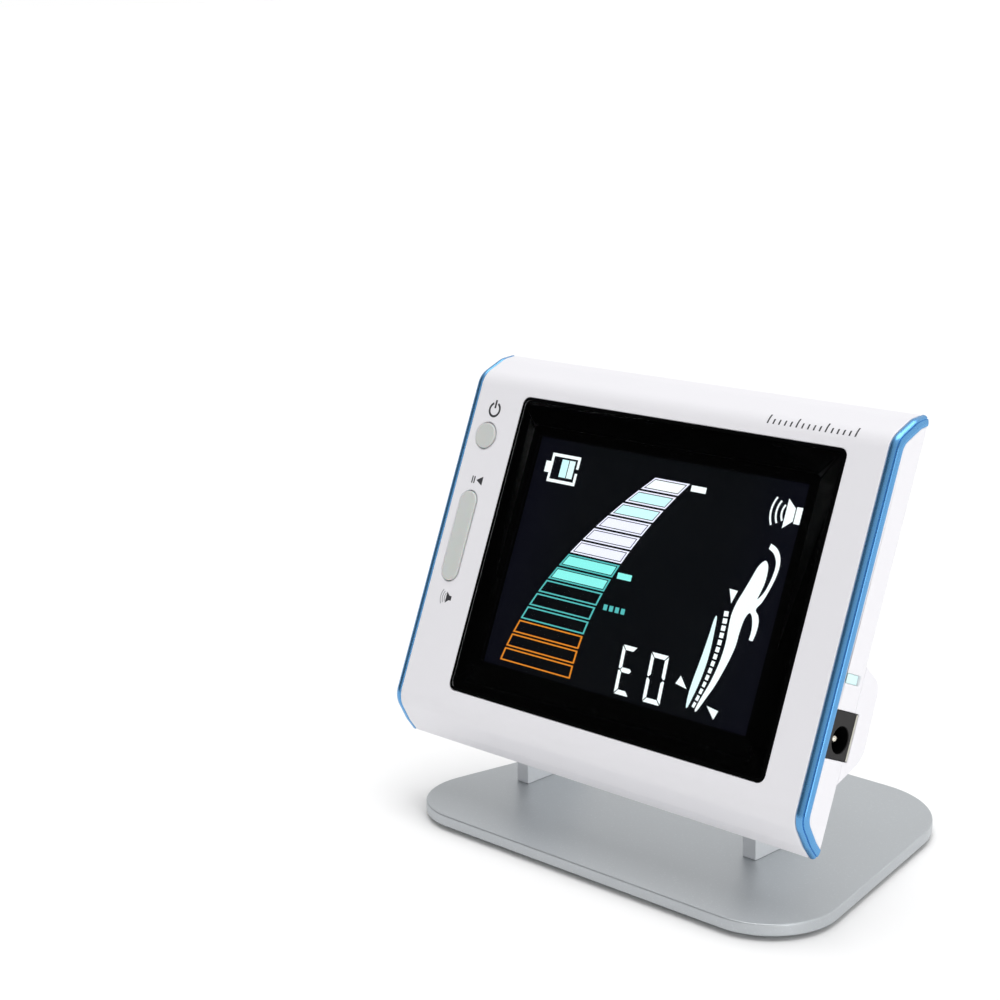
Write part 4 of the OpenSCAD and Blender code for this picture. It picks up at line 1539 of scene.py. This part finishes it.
@dataclass
class Sockets:
    """The charging socket and the measuring lead's socket in the right-hand side."""

    pin_tip: float = 0.85
    body_edge: float = 0.15
    hole_radius: float = 3.18
    # wall of the painted-shade sleeve, and thickness of the painted-highlight strip
    sleeve_wall: float = 0.08
    edge_strip: float = 0.55
    slot_width: float = 0.75
    tongue_below: tuple[float, float, float] = (0.0, 0.75, 0.6)
    tongue_above: tuple[float, float, float] = (0.1, 0.4, 0.6)
    slot_front: float = 0.55
    slot_side: float = 0.8
    slot_reach: float = 0.6
    slot_root: float = 2.0
    slot_edge: float = 0.05
    shield_edge: float = 0.1
    tongue_edge: float = 0.12
    pads: int = 4
    pad_root: float = 1.0
    pad_back: float = 0.4
    pad_edge: float = 0.03
    pad_gap: float = 0.3
    pad_height: float = 0.08

    def build(self) -> None:
        """Builds the sockets' pieces."""
        jack = Piece("moulded_dc_jack", HEAD_BENCH).from_node("dc_jack")
        jack.soften(self.body_edge, segments=3).done(SOCKET_BLACK, "head", "dc_jack")
        self.build_jack_shade_and_highlight()
        self.build_pin()
        shield = Piece("lead_socket_shield", HEAD_BENCH).from_node("probe_socket")
        shield.soften(self.shield_edge).done(CONTACT_CARRIER, "head", "probe_socket")
        self.build_tongue()
        dress_node("socket_board", BOARD)

    def build_jack_shade_and_highlight(self) -> None:
        """Builds a near-black sleeve in the charging socket's hole, painted shade where the hole
        lies in shadow, and a pale strip on its rear edge, a painted highlight.
        """
        low, high = self.bench_box("dc_jack")
        pin_low, pin_high = self.bench_box("dc_jack_pin")
        middle = (pin_low + pin_high) / 2
        mouth = high.x - self.body_edge * 2
        # The sleeve is painted shade: a near-black cup that darkens the hole where shade falls in
        # it.
        sleeve_wall = Piece("dc_jack_painted_shade_sleeve", HEAD_BENCH)
        sleeve_wall.rod((pin_low.x, middle.y, middle.z), (mouth, middle.y, middle.z),
                   self.hole_radius, sides=64)
        sleeve_wall.subtract(Piece("bore", HEAD_BENCH).rod(
            (pin_low.x + self.sleeve_wall, middle.y, middle.z), (high.x + 1, middle.y, middle.z),
            self.hole_radius - self.sleeve_wall, sides=64))
        sleeve_wall.subtract(Piece("pin_hole", HEAD_BENCH).rod(
            (pin_low.x - 1, middle.y, middle.z), (high.x + 1, middle.y, middle.z),
            (pin_high.z - pin_low.z) / 2 + self.sleeve_wall, sides=32))
        sleeve_wall.done(SOCKET_HOLE_PAINTED_SHADE, "head")
        # The strip is a painted highlight on the socket's lit rear edge.
        edge = Piece("dc_jack_rear_edge_painted_highlight", HEAD_BENCH)
        edge.box((high.x, high.y - self.edge_strip, low.z + self.body_edge),
                 (high.x + self.sleeve_wall, high.y - self.sleeve_wall, high.z - self.body_edge))
        edge.done(SOCKET_EDGE_PAINTED_HIGHLIGHT, "head")

    def bench_box(self, node: str) -> tuple[Vector, Vector]:
        """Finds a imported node's box on the head's bench.

        Args:
            node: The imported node's name.

        Returns:
            Its lowest and its highest corner.
        """
        back = HEAD_BENCH.inverted()
        places = [back @ v.co for v in frame["nodes"][node].data.vertices]
        low = Vector(min(p[k] for p in places) for k in range(3))
        high = Vector(max(p[k] for p in places) for k in range(3))
        return low, high

    def build_pin(self) -> None:
        """Builds the charging socket's centre pin with a domed tip."""
        low, high = self.bench_box("dc_jack_pin")
        middle = (low + high) / 2
        pin = Piece("dc_jack_centre_pin", HEAD_BENCH)
        pin.rod((low.x, middle.y, middle.z), (high.x, middle.y, middle.z),
                (high.z - low.z) / 2, sides=32)
        pin.pick(Part.EDGE, lambda a, b: min(a.x, b.x) > high.x - NEAR)
        pin.bevel(self.pin_tip, segments=6).done(CONTACT_METAL, "head", "dc_jack_pin", smooth=50)

    def build_tongue(self) -> None:
        """Builds the lead socket's tongue with a row of contact pads."""
        low, high = self.bench_box("probe_contacts")
        low, high = low - Vector(self.tongue_below), high + Vector(self.tongue_above)
        tongue = Piece("lead_socket_tongue", HEAD_BENCH).box(low, high)
        tongue.soften(self.tongue_edge).done(CONTACT_CARRIER, "head", "probe_contacts")
        width = (high.y - low.y - self.pad_gap * (self.pads + 1)) / self.pads
        first_low = Vector((low.x + self.pad_root, low.y + self.pad_gap, high.z - NEAR))
        first_high = Vector((high.x - self.pad_back, low.y + self.pad_gap + width,
                             high.z + self.pad_height))
        first = Piece("lead_socket_pads", HEAD_BENCH).box(first_low, first_high)
        first.soften(self.pad_edge)
        step = width + self.pad_gap
        others = [first.copy((0, step * k, 0)) for k in range(1, self.pads)]
        first.join(*others).done(CONTACT_METAL, "head")
        self.build_slot()

    def build_slot(self) -> None:
        """Builds a dark block at the front of the lead socket's opening, painted shade where the
        opening lies in shadow.
        """
        low, high = self.bench_box("probe_socket")
        # The block is painted shade for the shadowed front of the opening.
        slot = Piece("lead_socket_painted_shade", HEAD_BENCH)
        front = low.y + self.slot_front
        slot.box((low.x + self.slot_root, front, low.z + self.slot_side),
                 (high.x + self.slot_reach, front + self.slot_width,
                  high.z - self.slot_side))
        slot.soften(self.slot_edge).done(SLOT_PAINTED_SHADE, "head")


@dataclass
class Inside:
    """What the casing holds, and the hinge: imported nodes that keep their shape."""

    finishes: dict[str, Finish] = field(default_factory=lambda: {
        "main_board": BOARD, "board_chips": CHIP_BLACK, "board_screws": SCREW_STEEL,
        "battery": BATTERY_WRAP, "speaker": SPEAKER_BLACK, "hinge_pins": SCREW_STEEL,
        "friction_washers": WASHER_PLASTIC})

    def build(self) -> None:
        """Dresses each node."""
        for node, finish in self.finishes.items():
            dress_node(node, finish)


# ---------- studio ----------


@dataclass
class Studio:
    """The floor, the lights and the camera.

    Each lamp has a name, the way it lies from the object, the width of its disc in degrees
    and its power. The flag is a dark patch of the room, named by how closely a ray runs
    towards `mirrored`.
    """

    lens: float = 76.65
    azimuth: float = 45.151
    elevation: float = 13.637
    roll: float = -1.35
    camera_place: tuple[float, float, float] = (0.3323, -0.3947, 0.2108)
    floor_half: float = 30.0
    floor_shade: float = 0.9
    sky: float = 0.71
    contrast: float = 0.35
    mirrored: tuple[float, float, float] = (-0.687, -0.646, 0.331)
    flag_from: float = 0.7
    flag_full: float = 0.92
    flag_shade: float = 0.02
    bright_side: tuple[float, float, float] = (0.6, 0.8, 0.1)
    lamps: tuple[tuple[str, tuple[float, float, float], float, float], ...] = (
        ("overhead_lamp", (0.0, 0.08, 1.0), 45.0, 0.46),
        ("right_lamp", (0.915, -0.38, 0.1), 14.0, 0.2))

    def build(self) -> None:
        """Sets up everything that isn't part of the object."""
        bpy.context.scene.view_settings.view_transform = "Standard"
        self.build_camera()
        self.build_floor()
        self.build_sky()
        self.build_lamps()

    def build_camera(self) -> None:
        """Places the camera, level but for a slight roll."""
        data = bpy.data.cameras.new("camera")
        data.lens = self.lens
        data.clip_start = 0.01
        camera = bpy.data.objects.new("camera", data)
        bpy.context.scene.collection.objects.link(camera)
        a, e, r = (math.radians(v) for v in (self.azimuth, self.elevation, self.roll))
        back = Vector((math.sin(a) * math.cos(e), -math.cos(a) * math.cos(e), math.sin(e)))
        right = Vector((math.cos(a), math.sin(a), 0))
        up = back.cross(right)
        rolled_right = right * math.cos(r) + up * math.sin(r)
        rolled_up = up * math.cos(r) - right * math.sin(r)
        turn = Matrix((rolled_right, rolled_up, back)).transposed().to_4x4()
        camera.matrix_world = Matrix.Translation(self.camera_place) @ turn
        bpy.context.scene.camera = camera

    def build_floor(self) -> None:
        """Lays a large pale floor."""
        bpy.ops.mesh.primitive_plane_add(size=self.floor_half * 2)
        floor = bpy.context.active_object
        floor.name = "floor"
        made = bpy.data.materials.new("pale_floor")
        made.use_nodes = True
        shader = made.node_tree.nodes["Principled BSDF"]
        shader.inputs["Base Color"].default_value = (*[self.floor_shade] * 3, 1)
        shader.inputs["Roughness"].default_value = 0.9
        shader.inputs["Specular IOR Level"].default_value = 0.1
        floor.data.materials.append(made)

    def build_sky(self) -> None:
        """Lights the room, with a dark flag where the screen would mirror it.

        The camera sees plain white, and the room is a little brighter on the right.
        """
        world = bpy.data.worlds.new("studio")
        bpy.context.scene.world = world
        world.use_nodes = True
        tree = world.node_tree
        tree.nodes.clear()
        towards = add_node(tree, "TexCoord").outputs["Generated"]
        rays = add_node(tree, "LightPath").outputs
        flag = add_node(tree, "VectorMath", {"operation": "DOT_PRODUCT"}, i0=towards,
                        i1=self.mirrored).outputs["Value"]
        shade = add_node(tree, "MapRange", {"interpolation_type": "SMOOTHSTEP"}, Value=flag,
                         From_Min=self.flag_from, From_Max=self.flag_full, To_Min=1.0,
                         To_Max=self.flag_shade)
        glossy = add_node(tree, "Mix", {"data_type": "FLOAT"}, i0=rays["Is Glossy Ray"],
                          i2=1.0, i3=shade.outputs[0])
        side = add_node(tree, "VectorMath", {"operation": "DOT_PRODUCT"}, i0=towards,
                        i1=self.bright_side).outputs["Value"]
        slope = maths(tree, "MULTIPLY_ADD", side, self.sky * self.contrast, self.sky)
        lit = maths(tree, "MULTIPLY", slope, glossy.outputs[0])
        level = add_node(tree, "Mix", {"data_type": "FLOAT"}, i0=rays["Is Camera Ray"],
                         i2=lit, i3=1.0)
        light = add_node(tree, "Background", None, Color=(1, 1, 1, 1),
                         Strength=level.outputs[0])
        end = tree.nodes.new("ShaderNodeOutputWorld")
        tree.links.new(light.outputs[0], end.inputs["Surface"])

    def build_lamps(self) -> None:
        """Hangs a broad soft lamp overhead and a narrower one low at the right."""
        for name, towards, spread, power in self.lamps:
            data = bpy.data.lights.new(name, "SUN")
            data.angle = math.radians(spread)
            data.energy = power * math.pi
            lamp = bpy.data.objects.new(name, data)
            bpy.context.scene.collection.objects.link(lamp)
            lamp.matrix_world = Vector(towards).to_track_quat("Z", "Y").to_matrix().to_4x4()


def main() -> None:
    """Builds the studio and every sub-assembly in order."""
    logging.basicConfig(level=logging.INFO, format="%(name)s: %(message)s")
    for assembly in (Studio(), Stand(), Casing(), TrimBeads(), Screen(), DisplayDrawing(),
                     Keys(), ScaleMark(), Sockets(), Inside()):
        log.info("building %s", type(assembly).__name__)
        assembly.build()


if __name__ == "__main__":
    main()
